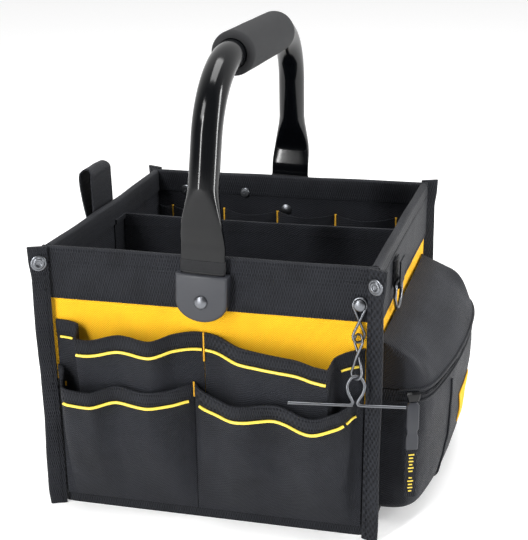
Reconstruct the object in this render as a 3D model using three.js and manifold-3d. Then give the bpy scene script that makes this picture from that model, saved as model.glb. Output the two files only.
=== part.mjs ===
// Open top tool tote: a square bag of stiffened cloth with webbing rims, front pockets,
// a swinging tubular handle, a wire chain and a zipped side pouch.
// Millimetres, +Z up, front towards -Y. The origin is the middle of the underside.

import * as THREE from 'three';
import { mergeVertices } from 'three/addons/utils/BufferGeometryUtils.js';
import Module from 'manifold-3d';

const wasm = await Module();
wasm.setup();

// Body of the bag
const BODY_WIDTH = 292;
const BODY_DEPTH = 290;
const BODY_HEIGHT = 243;
const FOOT_INSET = 3.5;
const BOARD = 2.2;
const CLOTH = 1.2;
const WEBBING = 1.4;
const GAP = 0.3;
const END_BAND_HEIGHT = 47;
const SIDE_BAND_HEIGHT = 56;
const RIM_FOLD_HEIGHT = 22;
const RIM_ROUNDING = 2.2;
const BASE_THICKNESS = 3;
const BASE_BINDING_HEIGHT = 10;
const FRONT_YELLOW_FOOT = 120;
const SIDE_YELLOW_FOOT = 128.6;

// Corner bindings and their snaps
const FIN_ROOT = 6.5;
const FIN_REACH = 16;
const FIN_THICKNESS = 3.6;
const FIN_FORWARD_DEG = 26;
const SNAP_RADIUS = 7;
const SNAP_BORE = 2;
const SNAP_THICKNESS = 2.4;
const SNAP_HEIGHT = 229;

// Inside
const DIVIDER_PLACE = 27;
const DIVIDER_HEIGHT = 225;
const DIVIDER_THICKNESS = 3;
const DIVIDER_RETURN = 24;
const INNER_POCKET_HEIGHT = 205;
const INNER_POCKET_FOOT = 95;
const INNER_POCKET_STAND = 11;

// Front pockets
const UPPER_HEM = 176.5;
const UPPER_FOOT = 64;
const LOWER_HEM = 135.5;
const POCKET_STAND = 28;
const HEM_SAG = 12;
const HEM_HEIGHT = 13;
const UPPER_SEAM_LEFT = 2;
const LOWER_SEAM_LEFT = 11;
const PIPING_RADIUS = 1.3;
const BELLY = 1.7;

// Handle
const PIVOT_HEIGHT = 206.5;
const HANDLE_LEAN_DEG = 2.1;
const TUBE_DIAMETER = 25.6;
const FLAT_WIDTH = 38;
const FLAT_THICKNESS = 4;
const FLARE_HEIGHT = 95;
const ARCH_HEIGHT = 193;
const ARCH_TOP_HALF = 77;
const ARCH_BEND = 69;
const LEG_LEAN_DEG = 9;
const GRIP_DIAMETER = 39;
const GRIP_LENGTH = 150;
const GRIP_ROUNDING = 6;
const CAP_WIDTH = 45;
const CAP_RISE = 23;
const CAP_DROP = 18;
const CAP_DEPTH = 11.8;
// The legs stand off the walls by this much, so that they clear the rim as the handle swings
const HANDLE_STAND = 3.4;
const RIVET_HEAD_RADIUS = 5.8;
const RIVET_HEAD_HEIGHT = 2.6;
const RIVET_SHANK_RADIUS = 3;

// Back rivets
const BACK_RIVET_HEIGHT = 223;
const BACK_RIVET_HEAD_RADIUS = 5;
const BACK_RIVET_PLACES = [-109, -44];

// Chain
const STUD_ACROSS = 132.2;
const STUD_HEIGHT = 211.2;
const STUD_RADIUS = 4;
const STUD_HEAD_RADIUS = 5;
const STUD_HEAD_HEIGHT = 1.8;
const STUD_PLAY = 2;
const WIRE_RADIUS = 1.15;
const LINK_UPPER_LENGTH = 25.4;
const LINK_UPPER_LOOP = 5.5;
const LINK_LOWER_LENGTH = 26.3;
const LINK_LOWER_LOOP = 5.3;
const BAR_WIRE_RADIUS = 1.3;
const EYE_HALF_WIDTH = 7;
const EYE_HEIGHT = 24;
const BAR_LEFT_ARM = 55;
const BAR_RIGHT_ARM = 42;
const BAR_BEND = 2.6;
const LINK_SLACK = 4;

// Left loop, and the ring on the right wall
const LOOP_PLACE = 0;
const LOOP_WIDTH = 49;
const LOOP_TOP = 279;
const LOOP_FOOT = 205;
const LOOP_DEPTH = 13;
const LOOP_CORNER = 9;
const RING_PLACE = -56;
const RING_WIRE = 1.6;
const RING_WIDTH = 34;
const RING_HEIGHT = 23;
const TAB_WIDTH = 22;
const TAB_TOP = 224;
const TAB_FOOT = 199;

// Side pouch
const POUCH_REACH = 60;
const POUCH_LENGTH = 254;
const POUCH_PLACE = 4;
const POUCH_FOOT = 11;
const POUCH_ZIP_HEIGHT = 124;
const POUCH_TOP = 172;
const ZIP_WIDTH = 9;
const ZIP_THICKNESS = 1.4;
const SLIDER_WIDTH = 9;
const SLIDER_LENGTH = 13;
const SLIDER_DEPTH = 4;
const PULL_WIDTH = 11;
const PULL_LENGTH = 44;
const PULL_THICKNESS = 3.6;
const RIBBON_WIDTH = 11;
const RIBBON_LENGTH = 44;
const RIBBON_THICKNESS = 1.2;
const PATCH_HEIGHT = 34;
const PATCH_FOOT = 46;

// Places that follow from the sizes above, as depths behind the outer face of the rim webbing
const CLOTH_FACE = WEBBING + GAP;
const BOARD_FACE = CLOTH_FACE + CLOTH + GAP;
const LINING_FACE = BOARD_FACE + BOARD;
const RIM_DEPTH = LINING_FACE + GAP + WEBBING;
const BOARD_TOP = BODY_HEIGHT - WEBBING - GAP;
const HALF_WIDTH = BODY_WIDTH / 2;
const HALF_DEPTH = BODY_DEPTH / 2;
const LEG_LEAN = THREE.MathUtils.degToRad(LEG_LEAN_DEG);
const HANDLE_LEAN = THREE.MathUtils.degToRad(HANDLE_LEAN_DEG);
const TAU = 2 * Math.PI;

const tote = new THREE.Group();

// Finishes
const finishes = {
  blackCloth: { color: 0x24262b, roughness: 0.9, metalness: 0 },
  blackWebbing: { color: 0x2a2c31, roughness: 0.85, metalness: 0 },
  yellowCloth: { color: 0xf5c32c, roughness: 0.8, metalness: 0 },
  yellowPiping: { color: 0xe8cf4f, roughness: 0.6, metalness: 0 },
  glossBlack: { color: 0x101216, roughness: 0.18, metalness: 0.1 },
  foam: { color: 0x1b1c1f, roughness: 0.95, metalness: 0 },
  greyPlastic: { color: 0x4d4f57, roughness: 0.55, metalness: 0 },
  steel: { color: 0x8d8f93, roughness: 0.35, metalness: 1 },
};

// Adds one named piece with its own material
function piece(name, geometry, finish) {
  const mesh = new THREE.Mesh(geometry, new THREE.MeshStandardMaterial(finishes[finish]));
  mesh.name = name;
  tote.add(mesh);
  return mesh;
}

// Closed geometry from points and triangles
function solid(points, triangles) {
  const geometry = new THREE.BufferGeometry();
  geometry.setAttribute('position', new THREE.Float32BufferAttribute(points.flatMap((p) => p.toArray()), 3));
  geometry.setIndex(triangles.flat());
  return facingOut(bare(geometry));
}

// Turns a closed geometry's faces outwards, whichever way it was drawn
function facingOut(geometry) {
  const index = Array.from(geometry.index.array);
  const corner = (i) => new THREE.Vector3().fromBufferAttribute(geometry.attributes.position, index[i]);
  let volume = 0;
  for (let i = 0; i < index.length; i += 3) {
    volume += corner(i).dot(corner(i + 1).cross(corner(i + 2)));
  }
  if (volume < 0) {
    for (let i = 0; i < index.length; i += 3) {
      [index[i], index[i + 1]] = [index[i + 1], index[i]];
    }
    geometry.setIndex(index);
  }
  return geometry;
}

// Keeps only positions, with shared corners merged
function bare(geometry) {
  geometry.deleteAttribute('normal');
  geometry.deleteAttribute('uv');
  return mergeVertices(geometry, 1e-4);
}

function toManifold(geometry) {
  const clean = bare(geometry);
  return new wasm.Manifold(new wasm.Mesh({
    numProp: 3,
    vertProperties: new Float32Array(clean.attributes.position.array),
    triVerts: new Uint32Array(clean.index.array),
  }));
}

function fromManifold(body) {
  const mesh = body.getMesh();
  const geometry = new THREE.BufferGeometry();
  geometry.setAttribute('position', new THREE.Float32BufferAttribute(mesh.vertProperties, 3));
  geometry.setIndex(Array.from(mesh.triVerts));
  return geometry;
}

// Geometry with the tools cut out of it
function cut(geometry, ...tools) {
  return fromManifold(tools.reduce((body, tool) => body.subtract(toManifold(tool)), toManifold(geometry)));
}

// Rings of points joined into a tube with closed ends
function loft(rings) {
  const count = rings[0].length;
  const points = rings.flat();
  const triangles = [];
  for (let r = 0; r + 1 < rings.length; r += 1) {
    for (let i = 0; i < count; i += 1) {
      const a = r * count + i;
      const b = r * count + (i + 1) % count;
      triangles.push([a, b, a + count], [b, b + count, a + count]);
    }
  }
  for (const [start, flip] of [[0, true], [(rings.length - 1) * count, false]]) {
    const middle = points.length;
    const ring = points.slice(start, start + count);
    points.push(ring.reduce((sum, p) => sum.add(p), new THREE.Vector3()).divideScalar(count));
    for (let i = 0; i < count; i += 1) {
      const next = (i + 1) % count;
      triangles.push(flip ? [middle, start + next, start + i] : [middle, start + i, start + next]);
    }
  }
  return solid(points, triangles);
}

// A sheet of cloth: face(u, v) gives its outer face, and the inner face lies thick(v) behind it,
// along the sheet's own normal or as the given function says
function sheet(face, thick, stepsU, rowsV, behind = (point, normal, t) => point.addScaledVector(normal, t)) {
  const outer = rowsV.map((v) => Array.from({ length: stepsU + 1 }, (_, i) => face(i / stepsU, v)));
  const last = rowsV.length - 1;
  const inner = outer.map((row, j) => row.map((point, i) => {
    const along = new THREE.Vector3().subVectors(row[Math.min(i + 1, stepsU)], row[Math.max(i - 1, 0)]);
    const low = outer[Math.max(j - 1, 0)][i];
    const up = new THREE.Vector3().subVectors(outer[Math.min(j + 1, last)][i], low);
    const inwards = new THREE.Vector3().crossVectors(up, along).normalize();
    return behind(point.clone(), inwards, thick(rowsV[j]));
  }));
  const points = [...outer.flat(), ...inner.flat()];
  const half = (last + 1) * (stepsU + 1);
  const at = (j, i) => j * (stepsU + 1) + i;
  const triangles = [];
  const quad = (a, b, c, d) => triangles.push([a, b, c], [a, c, d]);
  for (let j = 0; j < last; j += 1) {
    for (let i = 0; i < stepsU; i += 1) {
      quad(at(j, i), at(j, i + 1), at(j + 1, i + 1), at(j + 1, i));
      quad(half + at(j, i), half + at(j + 1, i), half + at(j + 1, i + 1), half + at(j, i + 1));
    }
    quad(at(j, 0), at(j + 1, 0), half + at(j + 1, 0), half + at(j, 0));
    quad(at(j, stepsU), half + at(j, stepsU), half + at(j + 1, stepsU), at(j + 1, stepsU));
  }
  for (let i = 0; i < stepsU; i += 1) {
    quad(at(0, i), half + at(0, i), half + at(0, i + 1), at(0, i + 1));
    quad(at(last, i), at(last, i + 1), half + at(last, i + 1), half + at(last, i));
  }
  return solid(points, triangles);
}

// Puts the inner face of a sheet straight behind the outer one along Y, no deeper than a limit
function behindAlongY(limit) {
  return (point, normal, t) => {
    const depth = t / Math.max(Math.abs(normal.y), 0.45);
    const y = point.y + Math.sign(normal.y) * depth;
    return point.setY(Math.min(y, limit));
  };
}

// A box between two opposite corners
function block(x0, x1, y0, y1, z0, z1) {
  const geometry = new THREE.BoxGeometry(x1 - x0, y1 - y0, z1 - z0);
  return bare(geometry.translate((x0 + x1) / 2, (y0 + y1) / 2, (z0 + z1) / 2));
}

// A section drawn in (y, z), run along X from -half to half
function runAcross(section, half) {
  const shape = new THREE.Shape(section.map(([y, z]) => new THREE.Vector2(y, z)));
  const geometry = new THREE.ExtrudeGeometry(shape, { depth: 2 * half, bevelEnabled: false });
  geometry.translate(0, 0, -half);
  const turn = new THREE.Matrix4().makeBasis(
    new THREE.Vector3(0, 1, 0),
    new THREE.Vector3(0, 0, 1),
    new THREE.Vector3(1, 0, 0),
  );
  return facingOut(bare(geometry.applyMatrix4(turn)));
}

// A round piece along Y from a profile of [radius, y] pairs that starts and ends on the axis
function turned(profile, sides = 10) {
  return facingOut(bare(new THREE.LatheGeometry(profile.map(([r, y]) => new THREE.Vector2(r, y)), sides)));
}

// An eight-sided cutter along Y that clears a round bar of the given radius
function drill(x, z, radius) {
  const corner = (radius + GAP) / Math.cos(Math.PI / 8);
  return bare(new THREE.CylinderGeometry(corner, corner, 2 * BODY_DEPTH, 8)).translate(x, 0, z);
}

// The walls draw in towards the floor, and all that is sewn to them follows
function drawnIn(x, z) {
  const share = Math.min(1, Math.abs(x) / HALF_WIDTH);
  return x - Math.sign(x) * share * FOOT_INSET * (1 - z / BODY_HEIGHT);
}

function settle(geometry) {
  const position = geometry.attributes.position;
  for (let i = 0; i < position.count; i += 1) {
    position.setX(i, drawnIn(position.getX(i), position.getZ(i)));
  }
  return geometry;
}

// A smooth line through the rows of a table, each row turned into a point
function smoothLine(rows, toPoint) {
  return new THREE.CatmullRomCurve3(rows.map(toPoint), false, 'centripetal');
}

// Value of a column of a table at a share of its first column, straight between rows
function lookUp(rows, key, column, share) {
  const next = rows.findIndex((row) => row[key] >= share);
  if (next <= 0) return next === 0 ? rows[0][column] : rows[rows.length - 1][column];
  const [low, high] = [rows[next - 1], rows[next]];
  return THREE.MathUtils.mapLinear(share, low[key], high[key], low[column], high[column]);
}

// Walls, yellow cloth and rim webbing, one set for each side of the bag
function bagSides() {
  const end = { out: HALF_DEPTH, half: HALF_WIDTH, endwise: true, band: END_BAND_HEIGHT };
  const flank = { out: HALF_WIDTH, half: HALF_DEPTH, endwise: false, band: SIDE_BAND_HEIGHT };
  const sides = [
    { name: 'front', turn: 0, foot: FRONT_YELLOW_FOOT, ...end },
    { name: 'right', turn: Math.PI / 2, foot: SIDE_YELLOW_FOOT, ...flank },
    { name: 'back', turn: Math.PI, foot: SIDE_YELLOW_FOOT, ...end },
    { name: 'left', turn: -Math.PI / 2, foot: SIDE_YELLOW_FOOT, ...flank },
  ];
  const pivotHole = drill(0, PIVOT_HEIGHT, RIVET_SHANK_RADIUS);
  const studHole = drill(STUD_ACROSS, STUD_HEIGHT, STUD_RADIUS);
  const backHoles = BACK_RIVET_PLACES.map((x) => drill(x, BACK_RIVET_HEIGHT, RIVET_SHANK_RADIUS));
  const holes = { front: [pivotHole, studHole], back: [pivotHole, ...backHoles], left: [], right: [] };
  for (const side of sides) {
    const place = (geometry) => settle(cut(geometry.rotateZ(side.turn), ...holes[side.name]));
    const boardHalf = side.half - (side.endwise ? BOARD_FACE : LINING_FACE + GAP);
    const board = block(-boardHalf, boardHalf, BOARD_FACE - side.out, LINING_FACE - side.out, 0, BOARD_TOP);
    piece(`wall_${side.name}`, place(board), 'blackCloth');
    const clothHalf = side.half - BOARD_FACE;
    const clothBack = CLOTH_FACE + CLOTH - side.out;
    const cloth = block(-clothHalf, clothHalf, CLOTH_FACE - side.out, clothBack, side.foot, BOARD_TOP);
    piece(`yellow_panel_${side.name}`, place(cloth), 'yellowCloth');
    piece(`rim_band_${side.name}`, place(rimBand(side)), 'blackWebbing');
  }
}

// The front and back bands run right across, and their inner legs stop short of the side walls.
// The side bands fit between them, with their outer legs running on under the corner folds.
function rimBand(side) {
  const outline = rimSection(side.out, side.band);
  if (side.endwise) {
    const legEnd = side.half - LINING_FACE - GAP;
    const legFace = BOARD_FACE + GAP - side.out;
    const legTop = BODY_HEIGHT - WEBBING;
    return cut(
      runAcross(outline, side.half),
      block(legEnd, side.half + 1, legFace, 0, 0, legTop),
      block(-side.half - 1, -legEnd, legFace, 0, 0, legTop),
    );
  }
  const end = side.half - WEBBING - GAP;
  const foldEnd = side.half - RIM_DEPTH - GAP;
  const inmost = RIM_DEPTH + 1 - side.out;
  const foldFoot = BODY_HEIGHT - WEBBING - GAP;
  return cut(
    runAcross(outline, end),
    block(foldEnd, end + 1, WEBBING - side.out, inmost, 0, BODY_HEIGHT + 1),
    block(-end - 1, -foldEnd, WEBBING - side.out, inmost, 0, BODY_HEIGHT + 1),
    block(foldEnd, end + 1, -side.out - 1, inmost, foldFoot, BODY_HEIGHT + 1),
    block(-end - 1, -foldEnd, -side.out - 1, inmost, foldFoot, BODY_HEIGHT + 1),
  );
}

// The rim webbing folds over the top of the wall: a long outer leg and a short inner one
function rimSection(out, bandHeight) {
  const shoulder = RIM_ROUNDING * (1 - Math.SQRT1_2);
  const outline = [
    [0, BODY_HEIGHT - bandHeight],
    [0, BODY_HEIGHT - RIM_ROUNDING],
    [shoulder, BODY_HEIGHT - shoulder],
    [RIM_ROUNDING, BODY_HEIGHT],
    [RIM_DEPTH - RIM_ROUNDING, BODY_HEIGHT],
    [RIM_DEPTH - shoulder, BODY_HEIGHT - shoulder],
    [RIM_DEPTH, BODY_HEIGHT - RIM_ROUNDING],
    [RIM_DEPTH, BODY_HEIGHT - RIM_FOLD_HEIGHT],
    [RIM_DEPTH - WEBBING, BODY_HEIGHT - RIM_FOLD_HEIGHT],
    [RIM_DEPTH - WEBBING, BODY_HEIGHT - WEBBING],
    [WEBBING, BODY_HEIGHT - WEBBING],
    [WEBBING, BODY_HEIGHT - bandHeight],
  ];
  return outline.map(([depth, z]) => [depth - out, z]);
}

// Floor board inside the walls, and the binding round their foot
function bagFloor() {
  const x = HALF_WIDTH - LINING_FACE - GAP;
  const y = HALF_DEPTH - LINING_FACE - GAP;
  piece('base_panel', settle(block(-x, x, -y, y, 0, BASE_THICKNESS)), 'blackCloth');
  const inX = HALF_WIDTH - BOARD_FACE + GAP;
  const inY = HALF_DEPTH - BOARD_FACE + GAP;
  const outer = block(-HALF_WIDTH, HALF_WIDTH, -HALF_DEPTH, HALF_DEPTH, 0, BASE_BINDING_HEIGHT);
  const inner = block(-inX, inX, -inY, inY, -1, BASE_BINDING_HEIGHT + 1);
  piece('base_binding', settle(cut(outer, inner)), 'blackWebbing');
}

// Corner bindings: folded webbing that stands out from each corner, wide at the top and a
// little wavy. The height is a share of the body, the reach and swing shares of their sizes.
const FIN_ROWS = [
  { up: 0.0, reach: 0.93, swing: 0.9 },
  { up: 0.06, reach: 1.0, swing: 1.0 },
  { up: 0.2, reach: 0.97, swing: 1.0 },
  { up: 0.38, reach: 0.9, swing: 0.8 },
  { up: 0.5, reach: 0.92, swing: 0.7 },
  { up: 0.7, reach: 0.97, swing: 1.0 },
  { up: 0.88, reach: 0.94, swing: 1.1 },
  { up: 0.95, reach: 1.05, swing: 1.0 },
  { up: 1.0, reach: 1.06, swing: 0.9 },
];

function finDirection(swing) {
  const angle = THREE.MathUtils.degToRad(FIN_FORWARD_DEG) * swing;
  return new THREE.Vector3(Math.cos(angle), -Math.sin(angle), 0);
}

// The bindings are sewn to the front and back faces a little inside the corners
function finRoot(height) {
  return new THREE.Vector3(HALF_WIDTH - FIN_ROOT, -HALF_DEPTH - GAP - FIN_THICKNESS / 2, height);
}

function cornerBinding() {
  const rings = FIN_ROWS.map(({ up, reach, swing }) => {
    const out = finDirection(swing);
    const across = new THREE.Vector3(-out.y, out.x, 0).multiplyScalar(FIN_THICKNESS / 2);
    const height = up * BODY_HEIGHT;
    const root = finRoot(height);
    const tip = root.clone().addScaledVector(out, FIN_REACH * reach);
    return [
      root.clone().add(across),
      root.clone().sub(across),
      tip.clone().sub(across),
      tip.clone().add(across),
    ];
  });
  return loft(rings);
}

// Copies a right front corner to another corner
function toCorner(geometry, mirrorX, mirrorY) {
  return facingOut(geometry.clone().scale(mirrorX ? -1 : 1, mirrorY ? -1 : 1, 1));
}

// Each snap is a flat nickel ring on the front face of a front corner binding
function cornerSnap() {
  const rim = SNAP_THICKNESS * 0.4;
  const profile = [
    [SNAP_BORE, 0],
    [SNAP_RADIUS, 0],
    [SNAP_RADIUS, rim],
    [SNAP_RADIUS * 0.72, SNAP_THICKNESS],
    [SNAP_RADIUS * 0.45, SNAP_THICKNESS],
    [SNAP_BORE, SNAP_THICKNESS * 0.7],
    [SNAP_BORE, 0],
  ];
  const snap = turned(profile, 12);
  const out = finDirection(1);
  const front = new THREE.Vector3(out.y, -out.x, 0);
  snap.applyQuaternion(new THREE.Quaternion().setFromUnitVectors(new THREE.Vector3(0, 1, 0), front));
  const seat = finRoot(SNAP_HEIGHT)
    .addScaledVector(out, FIN_REACH / 2)
    .addScaledVector(front, FIN_THICKNESS / 2 + 2 * GAP);
  return snap.translate(seat.x, seat.y, seat.z);
}

function corners() {
  const binding = cornerBinding();
  const snap = cornerSnap();
  for (const [name, mirrorX, mirrorY] of [
    ['front_right', false, false],
    ['front_left', true, false],
    ['back_right', false, true],
    ['back_left', true, true],
  ]) {
    piece(`corner_binding_${name}`, settle(toCorner(binding, mirrorX, mirrorY)), 'blackWebbing');
  }
  piece('corner_snap_right', settle(toCorner(snap, false, false)), 'steel');
  piece('corner_snap_left', settle(toCorner(snap, true, false)), 'steel');
}

// Front pockets. Each table follows the hem from its left seam to its right one: the place along
// the pocket, how far it stands off the wall and how far it sags, as shares of the named sizes.
const UPPER_LEFT_ROWS = [
  { along: 0.0, stand: 0.0, sag: 0.0 },
  { along: 0.08, stand: 0.06, sag: 0.0 },
  { along: 0.16, stand: 0.16, sag: 0.1 },
  { along: 0.175, stand: 0.7, sag: 0.72 },
  { along: 0.25, stand: 0.7, sag: 0.8 },
  { along: 0.45, stand: 0.44, sag: 0.45 },
  { along: 0.66, stand: 0.58, sag: 0.6 },
  { along: 0.82, stand: 0.2, sag: 0.2 },
  { along: 0.94, stand: 0.05, sag: 0.05 },
  { along: 1.0, stand: 0.0, sag: 0.1 },
];
const UPPER_RIGHT_ROWS = [
  { along: 0.0, stand: 0.0, sag: 0.1 },
  { along: 0.06, stand: 0.06, sag: 0.15 },
  { along: 0.26, stand: 0.46, sag: 0.6 },
  { along: 0.41, stand: 0.6, sag: 0.8 },
  { along: 0.6, stand: 0.7, sag: 0.95 },
  { along: 0.74, stand: 0.84, sag: 1.2 },
  { along: 0.815, stand: 0.84, sag: 1.3 },
  { along: 0.83, stand: 0.4, sag: 0.8 },
  { along: 0.91, stand: 0.12, sag: 0.5 },
  { along: 1.0, stand: 0.0, sag: 0.3 },
];
const LOWER_LEFT_ROWS = [
  { along: 0.0, stand: 0.0, sag: 0.0 },
  { along: 0.05, stand: 0.2, sag: 0.1 },
  { along: 0.07, stand: 0.75, sag: 1.0 },
  { along: 0.14, stand: 0.82, sag: 1.15 },
  { along: 0.27, stand: 0.88, sag: 1.2 },
  { along: 0.46, stand: 0.48, sag: 0.8 },
  { along: 0.67, stand: 0.56, sag: 1.05 },
  { along: 0.86, stand: 0.4, sag: 0.85 },
  { along: 0.97, stand: 0.12, sag: 0.6 },
  { along: 1.0, stand: 0.0, sag: 0.6 },
];
const LOWER_RIGHT_ROWS = [
  { along: 0.0, stand: 0.0, sag: 0.5 },
  { along: 0.03, stand: 0.22, sag: 0.6 },
  { along: 0.14, stand: 0.55, sag: 0.9 },
  { along: 0.28, stand: 0.8, sag: 1.2 },
  { along: 0.5, stand: 0.62, sag: 1.0 },
  { along: 0.73, stand: 0.98, sag: 1.4 },
  { along: 0.88, stand: 0.7, sag: 1.0 },
  { along: 0.93, stand: 0.5, sag: 0.8 },
  { along: 0.96, stand: 0.2, sag: 0.5 },
  { along: 1.0, stand: 0.0, sag: 0.4 },
];

// A pocket's outer face: u runs along the hem, v from its foot to the top of the hem
function pocketFace(pocket) {
  const seat = HALF_DEPTH - CLOTH_FACE + GAP + CLOTH + pocket.lift;
  return (u, v) => {
    const x = THREE.MathUtils.lerp(pocket.left, pocket.right, u);
    const stand = lookUp(pocket.rows, 'along', 'stand', u) * POCKET_STAND;
    const sag = lookUp(pocket.rows, 'along', 'sag', u) * HEM_SAG;
    const fullness = 1 - (1 - v) ** BELLY;
    const z = THREE.MathUtils.lerp(pocket.foot, pocket.hem - sag, v);
    return new THREE.Vector3(x, -seat - stand * fullness, z);
  };
}

function frontPockets() {
  const edge = HALF_WIDTH - FIN_ROOT - FIN_THICKNESS / 2 - GAP;
  const foot = BASE_BINDING_HEIGHT + GAP;
  const upperSeam = -UPPER_SEAM_LEFT;
  const lowerSeam = -LOWER_SEAM_LEFT;
  const upper = { foot: UPPER_FOOT, hem: UPPER_HEM, lift: 0 };
  const lower = { foot, hem: LOWER_HEM, lift: 2 * CLOTH + GAP };
  const pockets = [
    { name: 'upper_left', ...upper, left: -edge, right: upperSeam - GAP, rows: UPPER_LEFT_ROWS },
    { name: 'upper_right', ...upper, left: upperSeam + GAP, right: edge, rows: UPPER_RIGHT_ROWS },
    { name: 'lower_left', ...lower, left: -edge, right: lowerSeam - GAP, rows: LOWER_LEFT_ROWS },
    { name: 'lower_right', ...lower, left: lowerSeam + GAP, right: edge, rows: LOWER_RIGHT_ROWS },
  ];
  for (const pocket of pockets) {
    const face = pocketFace(pocket);
    const hemLine = 1 - HEM_HEIGHT / (pocket.hem - pocket.foot);
    const rows = [0, hemLine * 0.35, hemLine * 0.7, hemLine, 1];
    const behind = behindAlongY(CLOTH_FACE - GAP - HALF_DEPTH - pocket.lift);
    piece(`pocket_${pocket.name}`, settle(sheet(face, () => CLOTH, 26, rows, behind)), 'blackCloth');
    piece(`piping_${pocket.name}`, settle(piping(face, hemLine, pocket.name)), 'yellowPiping');
  }
}

// Piping runs along the pocket just under its hem, clear of the seams at both ends
function piping(face, hemLine, name) {
  const spans = {
    upper_left: [0.2, 0.99],
    upper_right: [0.01, 0.79],
    lower_left: [0.12, 0.96],
    lower_right: [0.06, 0.9],
  };
  const [start, end] = spans[name];
  const knots = 18;
  const drop = hemLine - 2.2 * PIPING_RADIUS / (UPPER_HEM - UPPER_FOOT);
  const points = Array.from({ length: knots + 1 }, (_, i) => {
    const u = THREE.MathUtils.lerp(start, end, i / knots);
    const here = face(u, drop);
    const ahead = face(u + 0.01, drop).sub(here);
    const front = new THREE.Vector3(ahead.y, -ahead.x, 0).normalize();
    return here.addScaledVector(front, PIPING_RADIUS + 3 * GAP);
  });
  return tube(new THREE.CatmullRomCurve3(points), PIPING_RADIUS, 5, 24);
}

// A round bar along an open curve, with closed ends
function tube(curve, radius, sides, steps) {
  const ring = Array.from({ length: sides }, (_, i) => new THREE.Vector2(
    radius * Math.cos(TAU * i / sides),
    radius * Math.sin(TAU * i / sides),
  ));
  const options = { steps, extrudePath: curve, bevelEnabled: false };
  return facingOut(bare(new THREE.ExtrudeGeometry(new THREE.Shape(ring), options)));
}

// A wire bent into a closed loop
function wireLoop(curve, radius, sides, steps) {
  return facingOut(bare(new THREE.TubeGeometry(curve, steps, radius, sides, true)));
}

// Inside: a cross wall with a return along each side wall, and a pocket strip on the back wall
function inside() {
  const x = HALF_WIDTH - LINING_FACE - GAP;
  const t = DIVIDER_THICKNESS;
  const y = DIVIDER_PLACE;
  const outline = [
    [-x, y - DIVIDER_RETURN], [-x + t, y - DIVIDER_RETURN], [-x + t, y], [x - t, y],
    [x - t, y - DIVIDER_RETURN], [x, y - DIVIDER_RETURN], [x, y + t], [-x, y + t],
  ];
  const foot = BASE_THICKNESS + GAP;
  const shape = new THREE.Shape(outline.map(([px, py]) => new THREE.Vector2(px, py)));
  const height = { depth: DIVIDER_HEIGHT - foot, bevelEnabled: false };
  const wall = facingOut(bare(new THREE.ExtrudeGeometry(shape, height).translate(0, 0, foot)));
  const underFold = HALF_WIDTH - RIM_DEPTH - GAP;
  const foldFoot = BODY_HEIGHT - RIM_FOLD_HEIGHT - GAP;
  const notch = block(underFold, HALF_WIDTH, -HALF_DEPTH, HALF_DEPTH, foldFoot, BODY_HEIGHT);
  const notched = cut(wall, notch, notch.clone().translate(-underFold - HALF_WIDTH, 0, 0));
  piece('divider', settle(notched), 'blackCloth');

  const half = x - CLOTH;
  const seat = HALF_DEPTH - LINING_FACE - GAP - CLOTH;
  const folds = 5;
  const face = (u, v) => {
    const bulge = INNER_POCKET_STAND * Math.sin(Math.PI * ((u * folds) % 1 || 0)) ** 0.7;
    const height = THREE.MathUtils.lerp(INNER_POCKET_FOOT, INNER_POCKET_HEIGHT, v);
    return new THREE.Vector3(half * (1 - 2 * u), seat - bulge * v, height);
  };
  const strip = sheet(face, () => CLOTH, 30, [0, 0.5, 1], behindAlongY(HALF_DEPTH));
  piece('inner_pocket', settle(strip), 'blackCloth');
}

// Handle. The arch is drawn in its own (out, up) plane from the pivots: straight leaning legs,
// a bend at each side and a straight top.
function archPoint(angle) {
  return [ARCH_TOP_HALF + ARCH_BEND * Math.cos(angle), ARCH_HEIGHT - ARCH_BEND + ARCH_BEND * Math.sin(angle)];
}

function legOut(up) {
  const [out, height] = archPoint(LEG_LEAN);
  return out + (height - up) * Math.tan(LEG_LEAN);
}

// The flattened end swells into the round tube: width and flatness go from one to nothing, and
// the middle line leaves the wall for the leaning leg
const FLARE_ROWS = [
  { up: -0.13, wide: 1, flat: 1, away: 0 },
  { up: 0.28, wide: 1, flat: 1, away: 0 },
  { up: 0.48, wide: 1, flat: 0.97, away: 0 },
  { up: 0.6, wide: 0.92, flat: 0.9, away: 0.45 },
  { up: 0.7, wide: 0.74, flat: 0.76, away: 0.9 },
  { up: 0.79, wide: 0.5, flat: 0.56, away: 1 },
  { up: 0.88, wide: 0.25, flat: 0.32, away: 1 },
  { up: 0.95, wide: 0.08, flat: 0.13, away: 1 },
  { up: 1.02, wide: 0, flat: 0, away: 1 },
];

const FLAT_OUT = HALF_DEPTH + HANDLE_STAND + 2 * GAP + FLAT_THICKNESS / 2;

function tubeStations() {
  const leg = FLARE_ROWS.map(({ up, wide, flat, away }) => {
    const height = up * FLARE_HEIGHT;
    return {
      out: THREE.MathUtils.lerp(FLAT_OUT, legOut(height), away),
      up: height,
      width: THREE.MathUtils.lerp(TUBE_DIAMETER, FLAT_WIDTH, wide),
      depth: THREE.MathUtils.lerp(TUBE_DIAMETER, FLAT_THICKNESS, flat),
      squareness: THREE.MathUtils.lerp(2, 5, flat),
      lean: LEG_LEAN * away,
    };
  });
  const bendSteps = 6;
  const bend = Array.from({ length: bendSteps + 1 }, (_, i) => {
    const angle = THREE.MathUtils.lerp(LEG_LEAN, Math.PI / 2, i / bendSteps);
    const [out, up] = archPoint(angle);
    return { out, up, width: TUBE_DIAMETER, depth: TUBE_DIAMETER, squareness: 2, lean: angle };
  });
  return [...leg, ...bend];
}

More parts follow.
